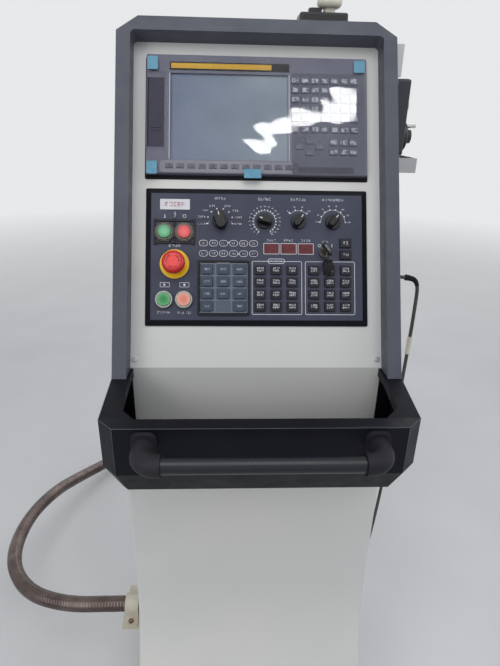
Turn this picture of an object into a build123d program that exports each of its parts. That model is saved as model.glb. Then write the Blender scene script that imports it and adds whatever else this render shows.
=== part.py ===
"""Free-standing operator console of a profile machining center.

Origin: on the floor, in the middle of the foot's anchor holes. +Z is up, the front faces -Y and the
right-hand side is +X. All sizes are in millimetres.
"""
import os
from math import asin, atan, cos, degrees, pi, radians, sin, sqrt, tan

from build123d import *

os.makedirs("parts", exist_ok=True)

# Pedestal column and foot
body_width = 500
column_depth = 300
column_top = 748
column_wall = 3
column_edge_radius = 7
column_flange = 22
foot_arc_radius = 350
foot_arc_start = 360
foot_toe_height = 60
base_thickness = 10
base_side_flange = 35
anchor_hole_radius = 7
anchor_inset = 17.5
anchor_spacing_y = 380

# Leaning control face
lean = 26
panel_setback = 10
fold_height = 900
panel_wall = 2
cutout_margin = 12
frame_top = 619
frame_side_band = 25
frame_top_band = 26
frame_proud = 36
frame_foot_gap = 0.5
frame_skirt = 60
frame_corner_across = 38
frame_corner_down = 27
frame_inner_radius = 8
frame_edge_radius = 2

# Hood behind the face
hood_wall = 2.5
hood_depth = 160
service_width = 400
service_length = 280
service_centre = 181
service_corner = 12

# Storage tray
tray_reach = 167
tray_rim_height = 884
tray_corner = 25
tray_rim_band = 27
tray_side_band = 30
tray_bend_drop = 85
tray_depth = 134
tray_slant = 25
tray_wall = 3
tray_lip = 12
tray_side_rise = 14.5
tray_rise_length = 100

# Handle on the tray
handle_radius = 12.5
handle_length = 312
handle_drop = 28
handle_reach = 50
handle_foot_width = 40
handle_foot_height = 46
handle_foot_thickness = 7
handle_foot_corner = 13
handle_foot_taper = 10
handle_foot_gap = 22
handle_arm_radius = 17
handle_elbow = 25
handle_socket = 9

# Screen unit
screen_width = 400
screen_height = 218
screen_low = 346.5
screen_thickness = 12
screen_corner = 3
screen_edge = 2
lcd_width = 211.2
lcd_height = 158.4
lcd_centre_across = -50.4
lcd_centre_up = 451
lcd_recess = 4
lcd_rebate = 7
lcd_thickness = 6
lcd_gap = 0.5
card_door_width = 29
card_door_height = 126
card_door_across = -182.5
card_door_up = 457.5
card_door_thickness = 4
card_hinge_gap = 0.6
card_pin_radius = 1
card_pin_reach = 4
card_ridge_drop = 30
card_ridge_inset = 5.5
card_ridge_pitch = 5
card_ridge_width = 1.6
card_ridge_height = 0.8
card_slot_width = 7
card_slot_height = 58
card_slot_drop = 6
key_height = 2.5
key_taper = 20
mdi_key_width = 14.5
mdi_key_height = 13
mdi_pitch_across = 17.9
mdi_pitch_up = 17.5
mdi_centre_across = 122
mdi_first_up = 520
mdi_last_up = 430
mdi_columns = 7
mdi_rows = 5
cursor_across = 94
cursor_up = 398
cursor_pitch_up = 21
cursor_key_height = 11
page_across = 156
page_pitch_up = 17.5
soft_key_width = 14
soft_key_height = 9
soft_key_pitch = 19.6
soft_key_centre = -50.4
soft_key_up = 360
soft_key_count = 12
unit_depth = 52
unit_gap = 4
fin_count = 22
fin_pitch = 14
fin_thickness = 3
fin_height = 12

# Operator panel
operator_width = 400
operator_height = 248
operator_low = 74
operator_thickness = 8
operator_edge = 2
operator_border = 11
operator_corner = 3
operator_inset = 1
button_body_radius = 11
button_ring_radius = 15
button_ring_height = 7
button_ring_floor = 1.5
button_ring_wall = 2.5
button_cap_radius = 12
button_cap_height = 5
button_cap_edge = 1.2
button_travel = 3
button_stem = 4
button_depth = 34
switch_block_width = 26
switch_block_height = 30
power_up = 240.8
cycle_up = 120.4
button_left = -165.5
button_right = -130.5
estop_across = -147.5
estop_up = 184
estop_collar_radius = 26
estop_collar_height = 2
estop_head_radius = 20
estop_head_height = 20
estop_head_flare = 5
estop_head_round = 8
estop_travel = 5
estop_stem = 8
estop_tip = 6
estop_tip_length = 9
estop_head_gap = 3
estop_block_width = 30
estop_block_height = 34
estop_block_depth = 30
knob_row_up = 262.5
mode_across = -67
mode_angle = 105
mode_grip_width = 20
mode_grip_length = 34
feed_across = 13
feed_angle = 165
rapid_across = 74
rapid_angle = 52
spindle_across = 136.5
spindle_angle = 52
knob_skirt_radius = 14
knob_skirt_height = 4
knob_skirt_taper = 12
knob_grip_height = 15
knob_grip_taper = 6
knob_grip_edge = 0.8
knob_grip_width = 13
knob_grip_length = 27
knob_shaft_radius = 3
knob_shaft_behind = 14
key_switch_across = 121
key_switch_up = 207.5
key_barrel_radius = 10.5
key_barrel_height = 5
key_plug_radius = 6
key_block = 26
key_turn = 34
key_blade_show = 6
key_blade_width = 8
key_blade_thickness = 2.4
key_blade_length = 8
key_blade_root = 1
bow_length = 22
bow_width = 23
bow_thickness = 2.8
bow_corner = 7
key_hole_radius = 3
key_hole_inset = 5
key_hole_side = 6.5
key_ring_radius = 10
key_ring_wire = 0.8
key_ring_yaw = 37
spare_tilt = -35
spare_yaw = 0.25
lamp_width = 15.5
lamp_height = 11
lamp_pitch_across = 17.9
lamp_pitch_up = 18.5
lamp_centre_across = -51.7
lamp_centre_up = 212.7
lamp_columns = 6
lamp_rows = 2
lamp_proud = 1.2
window_width = 28.5
window_height = 20
window_pitch = 30.9
window_centre_across = 56
window_count = 3
window_up = 213
window_proud = 1
f_key_width = 20.4
f_key_height = 16.4
f_key_across = 158.8
f_key_up = 223.7
f_key_pitch = 21.3
f_key_recess = 5
f_key_thickness = 7
f_key_travel = 1.5
f_key_edge = 1
pad_pitch_across = 28.7
pad_pitch_up = 21.9
pad_columns = 3
pad_rows = 4
pad_key_width = 20.4
pad_key_height = 17.9
pad_key_corner = 1.6
pad_key_proud = 4
pad_key_taper = 12
pad_centre_up = 141.7
pad_middle_across = 33.6
pad_right_across = 130
pad_frame_width = 92
pad_frame_height = 98
pad_frame_across = -60.4
pad_frame_shift = -0.6
pad_frame_radius = 2
pad_frame_band = 3
pad_frame_proud = 4
pad_frame_drop = 2
module_across = 50
module_up = 138
module_width = 200
module_height = 96
module_depth = 30
module_standoff = 12
module_post = 3
module_plug = 18
module_plug_count = 4

# Mounting rail and terminal blocks inside the hood
rail_up = 950
rail_length = 360
rail_crown = 25
rail_lip = 5
rail_depth = 7.5
rail_wall = 1.5
block_count = 30
block_pitch = 8
block_height = 46
block_depth = 40
block_taper = 8
block_slot = 1.2
block_slot_depth = 12

# Service door, its hinges and its latch
door_width = 440
door_length = 320
door_lift = 2
door_plate = 2
rib_spacing = 300
rib_depth = 8
hinge_across = 226
hinge_lift = 6
hinge_radius = 4.5
hinge_pin_radius = 2.5
hinge_length = 50
hinge_end = 15
hinge_leaf = 18
hinge_fixed_leaf = 15
hinge_spacing = 200
latch_across = 182
latch_radius = 9
latch_flange = 12
latch_grip = 5
latch_reach = 26
latch_cam = 3

# Signal tower
tower_across = 144
tower_setback = 350.14
tower_foot_across = 131
tower_foot_width = 98
tower_foot_depth = 60
tower_foot_height = 42
tower_foot_corner = 8
tower_foot_draft = 3
tower_bump_across = 116
tower_bump_width = 26
tower_bump_height = 9
tower_pole_radius = 11.5
tower_pole_wall = 1.5
tower_cup_height = 1508
tower_cup_radius = 24
tower_cup_length = 42
tower_cup_shoulder = 3
tower_lens_radius = 23
tower_lens_height = 48
tower_lens_wall = 2.5
tower_lens_count = 3
tower_seam = 3
tower_cap_height = 16

# Handwheel pendant on the right side
pendant_setback = 300.14
pendant_low = 1245
pendant_height = 139
pendant_width = 78
pendant_depth = 44
pendant_offset = 4
pendant_face = 5
pendant_face_step = 1
pendant_corner = 6
pendant_lead_out = 25
holder_extra = 40
wheel_up = 1280
wheel_radius = 28
wheel_thickness = 10
wheel_edge = 2.5
wheel_hub_radius = 14
wheel_hub_height = 12
wheel_hub_taper = 4
wheel_shaft_radius = 4
crank_radius = 20
crank_grip_radius = 4.5
crank_grip_length = 22
crank_grip_taper = 2
crank_pin_radius = 2
crank_pin_length = 7
axis_knob_up = 1362
axis_knob_radius = 10
axis_knob_length = 8
scale_knob_up = 1337
scale_knob_radius = 7
scale_knob_length = 12
small_shaft_radius = 2.5
small_knob_inset = 0.5
small_knob_share = 0.7

# Cable gland and lead on the right side
gland_setback = 100.14
gland_height = 1040
gland_thread_radius = 7.9
gland_thread_length = 12
gland_nut_across = 18
gland_nut_length = 8
gland_dome_radius = 8
gland_dome_length = 5
gland_dome_taper = 12
lead_radius = 3.5
boot_length = 20
boot_radius = 6.5
boot_lip = 1
sleeve_length = 38
sleeve_radius = 4.7
sleeve_drop = 10

# Conduit and its clamp on the left side
conduit_radius = 20
conduit_setback = 60.14
conduit_height = 230
conduit_hole_gap = 0.8
conduit_inside = 14
bracket_setback = 10.14
bracket_depth = 117
bracket_reach = 49
bracket_thickness = 3
bracket_leg = 30
clamp_across = -280
clamp_width = 31
clamp_thickness = 3
clamp_ear = 24
clamp_screw_radius = 3
clamp_screw_spacing = 70
clamp_screw_length = 16
clamp_head_radius = 6
clamp_head_height = 4
coil_radius = 200
coil_entry = (-157, 978, 20)
coil_heading = 10.5
coil_turns = 2
fitting_nut_across = 50
fitting_nut_length = 24
fitting_thread_radius = 18
fitting_thread_length = 26

# Screws low on the front panel
screw_across = 217
screw_up = 15
screw_head_radius = 4.5
screw_head_height = 2.5
screw_head_edge = 0.5

# Clearances
seat_gap = 0.3
bend_share = 0.45
running_gap = 0.05

# Worked out from the sizes above
lean_sin = sin(radians(lean))
lean_cos = cos(radians(lean))
lean_tan = tan(radians(lean))
half_width = body_width / 2
arc_drop = foot_arc_start - foot_toe_height
foot_reach = foot_arc_radius - sqrt(foot_arc_radius**2 - arc_drop**2)
base_depth = column_depth + foot_reach
toe_y = -base_depth / 2
column_front = toe_y + foot_reach
column_rear = column_front + column_depth
fold_y = column_front + panel_setback
face_plane = Plane(origin=(0, fold_y, fold_height), x_dir=(1, 0, 0), z_dir=(0, -lean_cos, lean_sin))
hood_top = fold_height + frame_top * lean_cos
rear_line_at_fold = fold_y + hood_depth / lean_cos
rear_bend_height = fold_height + (column_rear - rear_line_at_fold) / lean_tan
rear_plane = Plane(
    origin=(0, column_rear, rear_bend_height), x_dir=(-1, 0, 0), z_dir=(0, lean_cos, -lean_sin)
)
tray_front = fold_y - tray_reach
tray_bend_height = tray_rim_height - tray_bend_drop
tray_bottom_height = tray_rim_height - tray_depth
frame_foot_height = tray_rim_height + tray_side_rise + frame_foot_gap
handle_height = tray_rim_height - handle_drop
handle_foot_spacing = handle_length + 2 * handle_foot_gap
tower_back = fold_y + tower_setback
pendant_back = fold_y + pendant_setback
gland_back = fold_y + gland_setback
conduit_back = fold_y + conduit_setback
bracket_front = fold_y + bracket_setback


def face_line(height):
    """Y of the control face at a height above the floor."""
    return fold_y + (height - fold_height) * lean_tan


def rear_line(height):
    """Y of the hood's sloped back at a height above the floor."""
    return rear_line_at_fold + (height - fold_height) * lean_tan


def face_at(across, up, out=0.0):
    """A plane parallel to the control face, centred on a point of it."""
    return Plane(
        origin=face_plane.from_local_coords((across, up, out)), x_dir=(1, 0, 0), z_dir=face_plane.z_dir
    )


def rear_at(across, up, out=0.0):
    """A plane parallel to the hood's sloped back, centred on a point of it."""
    return Plane(
        origin=rear_plane.from_local_coords((across, up, out)), x_dir=(-1, 0, 0), z_dir=rear_plane.z_dir
    )


def right_at(back, height, out=0.0):
    """A plane on the right-hand side of the body, its normal along +X, its Y axis up."""
    return Plane(origin=(half_width + out, back, height), x_dir=(0, 1, 0), z_dir=(1, 0, 0))


def finish(piece, name):
    """Label a finished piece and write it."""
    piece.part.label = name
    export_step(piece.part, f"parts/{name}.step")


# Pedestal column with its concave foot and floor plate
def column_profile(inset, low, high):
    """Side outline of the column, drawn inside its skin by the inset."""
    radius = foot_arc_radius + inset
    centre_y = column_front - foot_arc_radius
    drop_angle = asin(arc_drop / radius)
    arc_end = (centre_y + radius * cos(drop_angle), foot_toe_height)
    arc_middle = (
        centre_y + radius * cos(drop_angle / 2),
        foot_arc_start - radius * sin(drop_angle / 2),
    )
    arc_top = (column_front + inset, foot_arc_start)
    rear = column_rear - inset
    with BuildLine() as outline:
        Polyline(arc_top, (arc_top[0], high), (rear, high), (rear, low), (arc_end[0], low), arc_end)
        ThreePointArc(arc_end, arc_middle, arc_top)
    return outline.line


with BuildPart() as pedestal_shell:
    with BuildSketch(Plane.YZ):
        add(column_profile(0, 0, column_top))
        make_face()
    extrude(amount=half_width, both=True)
    front_edges = pedestal_shell.edges().filter_by_position(Axis.Z, foot_toe_height, column_top)
    front_edges = front_edges.filter_by_position(Axis.Y, toe_y, column_front + 1)
    fillet(front_edges.filter_by(lambda e: abs(abs(e.center().X) - half_width) < 1), column_edge_radius)
    with BuildSketch(Plane.YZ):
        add(column_profile(column_wall, base_thickness, column_top - column_wall))
        make_face()
    extrude(amount=half_width - column_wall, both=True, mode=Mode.SUBTRACT)
    with BuildSketch(Plane.XY.offset(column_top)):
        with Locations((0, (column_front + column_rear) / 2)):
            Rectangle(body_width - 2 * column_flange, column_depth - 2 * column_flange)
    extrude(amount=-2 * column_wall, mode=Mode.SUBTRACT)
    with BuildSketch():
        Rectangle(body_width + 2 * base_side_flange, base_depth)
    extrude(amount=base_thickness)
    with Locations((0, 0, base_thickness)):
        with GridLocations(body_width + 2 * anchor_inset, anchor_spacing_y, 2, 2):
            Hole(anchor_hole_radius, depth=base_thickness)
    with BuildSketch(Plane.YZ.offset(-half_width)):
        with Locations((conduit_back, conduit_height)):
            Circle(conduit_radius + conduit_hole_gap)
    extrude(amount=2 * column_wall, both=True, mode=Mode.SUBTRACT)
finish(pedestal_shell, "pedestal_shell")


# Hood: sides, top and back in one folded sheet, open to the front and to the column
sheet_fold = fold_height + (panel_wall - panel_wall / lean_cos) / lean_tan
corner_down = frame_corner_down * lean_cos


def hood_front():
    """Front outline of the hood, with its two cut top corners."""
    with BuildLine() as outline:
        Polyline(
            (-half_width, column_top),
            (-half_width, hood_top - corner_down),
            (-half_width + frame_corner_across, hood_top),
            (half_width - frame_corner_across, hood_top),
            (half_width, hood_top - corner_down),
            (half_width, column_top),
            close=True,
        )
    return outline.line


with BuildPart() as hood_space:
    with BuildSketch(Plane.YZ):
        with BuildLine():
            inner_top = hood_top - hood_wall
            inner_rear = column_rear - hood_wall
            Polyline(
                (fold_y - hood_depth, column_top - column_flange),
                (fold_y - hood_depth, inner_top),
                (rear_line(inner_top) - hood_wall / lean_cos, inner_top),
                (inner_rear, rear_bend_height + (hood_wall / lean_cos - hood_wall) / lean_tan),
                (inner_rear, column_top - column_flange),
                close=True,
            )
        make_face()
    extrude(amount=half_width, both=True)
    with BuildSketch(Plane.XZ):
        add(hood_front())
        make_face()
        offset(amount=-hood_wall, kind=Kind.INTERSECTION)
        with Locations((0, column_top)):
            Rectangle(body_width - 2 * hood_wall, 4 * hood_wall)
    extrude(amount=body_width, both=True, mode=Mode.INTERSECT)

with BuildPart() as hood_shell:
    with BuildSketch(Plane.YZ):
        with BuildLine():
            Polyline(
                (fold_y + panel_wall, column_top),
                (fold_y + panel_wall, sheet_fold),
                (face_line(hood_top) + panel_wall / lean_cos, hood_top),
                (rear_line(hood_top), hood_top),
                (column_rear, rear_bend_height),
                (column_rear, column_top),
                close=True,
            )
        make_face()
    extrude(amount=half_width, both=True)
    with BuildSketch(Plane.XZ):
        add(hood_front())
        make_face()
    extrude(amount=body_width, both=True, mode=Mode.INTERSECT)
    add(hood_space.part, mode=Mode.SUBTRACT)
    with BuildSketch(rear_at(0, service_centre)):
        RectangleRounded(service_width, service_length, service_corner)
    extrude(amount=2 * hood_wall, both=True, mode=Mode.SUBTRACT)
    with BuildSketch(right_at(gland_back, gland_height)):
        Circle(gland_thread_radius + seat_gap)
    extrude(amount=2 * hood_wall, both=True, mode=Mode.SUBTRACT)
    with BuildSketch(Plane.XY.offset(hood_top)):
        with Locations((tower_across, tower_back)):
            Circle(tower_pole_radius - tower_pole_wall)
    extrude(amount=2 * hood_wall, both=True, mode=Mode.SUBTRACT)
finish(hood_shell, "hood_shell")

# White front panel: one folded sheet with the cut-outs for both units
screen_centre = screen_low + screen_height / 2
operator_centre = operator_low + operator_height / 2
with BuildPart() as front_panel:
    with BuildSketch(Plane.YZ):
        with BuildLine():
            panel_back = fold_y + panel_wall
            top_y = face_line(hood_top)
            Polyline(
                (fold_y, column_top),
                (fold_y, fold_height),
                (top_y, hood_top),
                (top_y + panel_wall / lean_cos, hood_top),
                (panel_back, sheet_fold),
                (panel_back, column_top),
                close=True,
            )
        make_face()
    extrude(amount=half_width, both=True)
    with BuildSketch(Plane.XZ):
        add(hood_front())
        make_face()
    extrude(amount=body_width, both=True, mode=Mode.INTERSECT)
    with BuildSketch(face_plane):
        with Locations((0, screen_centre)):
            Rectangle(screen_width - 2 * cutout_margin, screen_height - 2 * cutout_margin)
        with Locations((0, operator_centre)):
            Rectangle(operator_width - 2 * cutout_margin, operator_height - 2 * cutout_margin)
    extrude(amount=2 * panel_wall, both=True, mode=Mode.SUBTRACT)
finish(front_panel, "front_panel")

# Black face frame: a deep ring with cut top corners, open at the foot
frame_low = -frame_skirt
with BuildPart() as face_frame:
    with BuildSketch(face_plane):
        with BuildLine():
            Polyline(
                (-half_width, frame_low),
                (-half_width, frame_top - frame_corner_down),
                (-half_width + frame_corner_across, frame_top),
                (half_width - frame_corner_across, frame_top),
                (half_width, frame_top - frame_corner_down),
                (half_width, frame_low),
                close=True,
            )
        make_face()
    extrude(amount=frame_proud)
    frame_front = face_frame.faces().sort_by(Axis((0, 0, 0), face_plane.z_dir))[-1]
    fillet(frame_front.edges(), frame_edge_radius)
    inner_height = frame_top - frame_top_band - 2 * frame_low
    with BuildSketch(face_plane):
        with Locations((0, frame_top - frame_top_band - inner_height / 2)):
            RectangleRounded(body_width - 2 * frame_side_band, inner_height, frame_inner_radius)
    extrude(amount=2 * frame_proud, mode=Mode.SUBTRACT)
    split(bisect_by=Plane.XY.offset(frame_foot_height), keep=Keep.TOP)
finish(face_frame, "face_frame")


# Storage tray: an open bin with a broad rim whose inner edge turns down
slant_angle = degrees(atan(tray_slant / (tray_bend_height - tray_bottom_height)))
rim_high = tray_rim_height + tray_side_rise
tray_back = fold_y + 2 * tray_slant


def tray_plan(side_inset, front_inset, corner, back):
    """Plan of the tray, with its two cut front corners."""
    edge = half_width - side_inset
    front = tray_front + front_inset
    with BuildLine() as outline:
        Polyline(
            (-edge, back),
            (-edge, front + corner),
            (-edge + corner, front),
            (edge - corner, front),
            (edge, front + corner),
            (edge, back),
            close=True,
        )
    return outline.line


def under_rim(drop):
    """Side view of all that lies under the rim's surface, lowered by the drop."""
    rise_start = tray_front + tray_rim_band
    with BuildLine() as outline:
        Polyline(
            (tray_front - tray_rim_band, tray_bottom_height),
            (tray_front - tray_rim_band, tray_rim_height - drop),
            (rise_start, tray_rim_height - drop),
            (rise_start + tray_rise_length, rim_high - drop),
            (column_rear, rim_high - drop),
            (column_rear, tray_bottom_height),
            close=True,
        )
    return outline.line


inner_corner = tray_corner - tray_wall * tan(pi / 8)
with BuildPart() as tray_space:
    with BuildSketch(Plane.XY.offset(tray_bend_height)):
        add(tray_plan(tray_wall, tray_wall, inner_corner, tray_back + tray_slant))
        make_face()
    extrude(amount=rim_high - tray_bend_height)
    with BuildSketch(Plane.YZ):
        add(under_rim(tray_wall))
        make_face()
    extrude(amount=half_width, both=True, mode=Mode.INTERSECT)
    with BuildSketch(Plane.XY.offset(tray_bend_height)):
        add(tray_plan(tray_wall, tray_wall, inner_corner, tray_back + tray_slant))
        make_face()
    extrude(amount=-(tray_bend_height - tray_bottom_height - tray_wall), taper=slant_angle)

with BuildPart() as tray_lip_ring:
    with BuildSketch(Plane.XY.offset(tray_bend_height)):
        add(tray_plan(tray_side_band - tray_wall, tray_rim_band - tray_wall, inner_corner, tray_back))
        make_face()
    extrude(amount=rim_high - tray_bend_height)
    with BuildSketch(Plane.YZ):
        add(under_rim(tray_wall))
        make_face()
    extrude(amount=half_width, both=True, mode=Mode.INTERSECT)
    with BuildSketch(Plane.YZ):
        add(under_rim(tray_wall + tray_lip))
        make_face()
    extrude(amount=half_width, both=True, mode=Mode.SUBTRACT)

with BuildPart() as storage_tray:
    with BuildSketch(Plane.XY.offset(tray_bend_height)):
        add(tray_plan(0, 0, tray_corner, tray_back))
        make_face()
    extrude(amount=rim_high - tray_bend_height)
    with BuildSketch(Plane.YZ):
        add(under_rim(0))
        make_face()
    extrude(amount=half_width, both=True, mode=Mode.INTERSECT)
    with BuildSketch(Plane.XY.offset(tray_bend_height)):
        add(tray_plan(0, 0, tray_corner, tray_back))
        make_face()
    extrude(amount=-(tray_bend_height - tray_bottom_height), taper=slant_angle)
    add(tray_space.part, mode=Mode.SUBTRACT)
    add(tray_lip_ring.part)
    with BuildSketch(Plane.XY.offset(tray_bend_height)):
        add(tray_plan(tray_side_band, tray_rim_band, inner_corner, tray_back + tray_slant))
        make_face()
    extrude(amount=rim_high - tray_bend_height + tray_wall, mode=Mode.SUBTRACT)
    split(bisect_by=Plane.XZ.offset(-fold_y), keep=Keep.TOP)
finish(storage_tray, "storage_tray")

# Handle: a straight tube held by two moulded end brackets
handle_y = tray_front - handle_reach
with BuildPart() as handle_tube:
    with BuildSketch(Plane.YZ.offset(-handle_length / 2)):
        with Locations((handle_y, handle_height)):
            Circle(handle_radius)
            Circle(handle_radius - column_wall, mode=Mode.SUBTRACT)
    extrude(amount=handle_length)
finish(handle_tube, "handle_tube")

elbow_x = handle_foot_spacing / 2 - handle_elbow
elbow_y = handle_y + handle_elbow
with BuildPart() as handle_brackets:
    with BuildSketch(Plane.XZ.offset(-tray_front)):
        with Locations((handle_foot_spacing / 2, handle_height)):
            RectangleRounded(handle_foot_width, handle_foot_height, handle_foot_corner)
    extrude(amount=handle_foot_thickness, taper=handle_foot_taper)
    with BuildSketch(Plane.XZ.offset(-elbow_y)):
        with Locations((handle_foot_spacing / 2, handle_height)):
            Circle(handle_arm_radius)
    extrude(amount=elbow_y - tray_front)
    with BuildSketch(Plane.YZ.offset(elbow_x)):
        with Locations((handle_y, handle_height)):
            Circle(handle_arm_radius)
    revolve(axis=Axis((elbow_x, elbow_y, 0), (0, 0, 1)), revolution_arc=90)
    with BuildSketch(Plane.YZ.offset(elbow_x)):
        with Locations((handle_y, handle_height)):
            Circle(handle_arm_radius)
    extrude(amount=handle_length / 2 - handle_socket - elbow_x)
    with BuildSketch(Plane.YZ.offset(handle_length / 2 - handle_socket)):
        with Locations((handle_y, handle_height)):
            Circle(handle_radius + running_gap)
    extrude(amount=handle_socket, mode=Mode.SUBTRACT)
    mirror(about=Plane.YZ)
finish(handle_brackets, "handle_brackets")

# Screen unit: bezel with window, card-door recess and card slot
with BuildPart() as screen_bezel:
    with BuildSketch(face_at(0, screen_centre)):
        RectangleRounded(screen_width, screen_height, screen_corner)
    extrude(amount=screen_thickness)
    bezel_front = screen_bezel.faces().sort_by(Axis((0, 0, 0), face_plane.z_dir))[-1]
    fillet(bezel_front.edges(), screen_edge)
    with BuildSketch(face_at(lcd_centre_across, lcd_centre_up)):
        Rectangle(lcd_width, lcd_height)
    extrude(amount=screen_thickness, mode=Mode.SUBTRACT)
    with BuildSketch(face_at(lcd_centre_across, lcd_centre_up)):
        Rectangle(lcd_width + 2 * lcd_rebate, lcd_height + 2 * lcd_rebate)
    extrude(amount=screen_thickness - lcd_recess, mode=Mode.SUBTRACT)
    recess_across = card_door_across - (card_hinge_gap - seat_gap) / 2
    with BuildSketch(face_at(recess_across, card_door_up, screen_thickness)):
        Rectangle(card_door_width + card_hinge_gap + seat_gap, card_door_height + 2 * seat_gap)
    extrude(amount=-(card_door_thickness + seat_gap), mode=Mode.SUBTRACT)
    with BuildSketch(face_at(card_door_across, card_door_up + card_slot_drop)):
        Rectangle(card_slot_width, card_slot_height)
    extrude(amount=screen_thickness, mode=Mode.SUBTRACT)
    pin_depth = screen_thickness - card_door_thickness / 2
    pin_across = card_door_across - card_door_width / 2 + card_door_thickness / 2
    with BuildSketch(
        Plane(
            origin=face_plane.from_local_coords((pin_across, card_door_up, pin_depth)),
            x_dir=(1, 0, 0),
            z_dir=face_plane.y_dir,
        )
    ):
        Circle(card_pin_radius)
    extrude(amount=card_door_height / 2 + card_pin_reach + seat_gap, both=True, mode=Mode.SUBTRACT)
finish(screen_bezel, "screen_bezel")

# Card door: a flap on two stub pins at its left edge
with BuildPart() as card_door:
    with BuildSketch(face_at(card_door_across, card_door_up, screen_thickness)):
        Rectangle(card_door_width, card_door_height)
    extrude(amount=-card_door_thickness)
    hinge_edge = card_door.edges().filter_by(Axis((0, 0, 0), face_plane.y_dir))
    hinge_edge = hinge_edge.filter_by(
        lambda e: face_plane.to_local_coords(e.center()).X < card_door_across
    )
    fillet(hinge_edge, card_door_thickness / 2 - running_gap)
    with BuildSketch(face_at(card_door_across, card_door_up - card_ridge_drop, screen_thickness)):
        with GridLocations(1, card_ridge_pitch, 1, 2):
            Rectangle(card_door_width - 2 * card_ridge_inset, card_ridge_width)
    extrude(amount=card_ridge_height)
    with BuildSketch(
        Plane(
            origin=face_plane.from_local_coords((pin_across, card_door_up, pin_depth)),
            x_dir=(1, 0, 0),
            z_dir=face_plane.y_dir,
        )
    ):
        Circle(card_pin_radius - running_gap)
    extrude(amount=card_door_height / 2 + card_pin_reach, both=True)
finish(card_door, "card_door")

# Display: a framed glass plate seated behind the bezel's window
with BuildPart() as lcd_panel:
    with BuildSketch(face_at(lcd_centre_across, lcd_centre_up, screen_thickness - lcd_recess)):
        Rectangle(lcd_width + 2 * (lcd_rebate - lcd_gap), lcd_height + 2 * (lcd_rebate - lcd_gap))
    extrude(amount=-lcd_thickness)
finish(lcd_panel, "lcd_panel")

# Keys of the screen unit: the keyboard field, cursor cross, page keys and a row of soft keys
with BuildPart() as screen_keys:
    with BuildSketch(face_at(0, 0, screen_thickness)):
        for row in range(mdi_rows):
            with Locations((mdi_centre_across, mdi_first_up - row * mdi_pitch_up)):
                with GridLocations(mdi_pitch_across, 1, mdi_columns, 1):
                    Rectangle(mdi_key_width, mdi_key_height)
        with Locations((mdi_centre_across, mdi_last_up)):
            with GridLocations(mdi_pitch_across, 1, mdi_columns, 1):
                Rectangle(mdi_key_width, mdi_key_height)
        with Locations((cursor_across, cursor_up)):
            with GridLocations(2 * mdi_pitch_across, 1, 2, 1):
                Rectangle(mdi_key_width, cursor_key_height)
            with GridLocations(1, cursor_pitch_up, 1, 2):
                Rectangle(mdi_key_width, cursor_key_height)
        with Locations((page_across, cursor_up)):
            with GridLocations(mdi_pitch_across, page_pitch_up, 3, 2):
                Rectangle(mdi_key_width, mdi_key_height)
        with Locations((soft_key_centre, soft_key_up)):
            with GridLocations(soft_key_pitch, 1, soft_key_count, 1):
                Rectangle(soft_key_width, soft_key_height)
    extrude(amount=key_height, taper=key_taper)
finish(screen_keys, "screen_keys")

# Control unit behind the display, with a finned back
unit_width = screen_width - 2 * cutout_margin - 2 * unit_gap
unit_height = screen_height - 2 * cutout_margin - 2 * unit_gap
with BuildPart() as control_unit:
    with BuildSketch(face_at(0, screen_centre)):
        Rectangle(unit_width, unit_height)
    extrude(amount=-unit_depth)
    with BuildSketch(face_at(0, screen_centre, -unit_depth)):
        with GridLocations(fin_pitch, 1, fin_count, 1):
            Rectangle(fin_thickness, unit_height - 2 * fin_pitch)
    extrude(amount=-fin_height)
finish(control_unit, "control_unit")

# Operator panel: a moulded plate with a sloped border and holes for what passes through
button_places = (
    (button_left, power_up),
    (button_right, power_up),
    (button_left, cycle_up),
    (button_right, cycle_up),
)
with BuildPart() as operator_panel:
    with BuildSketch(face_at(0, operator_centre)):
        RectangleRounded(operator_width, operator_height, operator_corner)
    extrude(amount=operator_edge)
    with BuildSketch(face_at(0, operator_centre, operator_edge)):
        Rectangle(operator_width - 2 * operator_inset, operator_height - 2 * operator_inset)
    with BuildSketch(face_at(0, operator_centre, operator_thickness)):
        Rectangle(operator_width - 2 * operator_border, operator_height - 2 * operator_border)
    loft()
    with BuildSketch(face_at(0, 0, operator_thickness)):
        with Locations(*button_places):
            Circle(button_body_radius + running_gap)
        with Locations((estop_across, estop_up)):
            Circle(estop_stem + seat_gap)
        for across in (mode_across, feed_across, rapid_across, spindle_across):
            with Locations((across, knob_row_up)):
                Circle(knob_shaft_radius + running_gap)
        with Locations((key_switch_across, key_switch_up)):
            Circle(key_plug_radius + seat_gap)
    extrude(amount=-operator_thickness, mode=Mode.SUBTRACT)
    with BuildSketch(face_at(0, 0, operator_thickness)):
        with Locations((f_key_across, f_key_up), (f_key_across, f_key_up - f_key_pitch)):
            Rectangle(f_key_width + 2 * seat_gap, f_key_height + 2 * seat_gap)
    extrude(amount=-f_key_recess, mode=Mode.SUBTRACT)
finish(operator_panel, "operator_panel")

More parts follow.
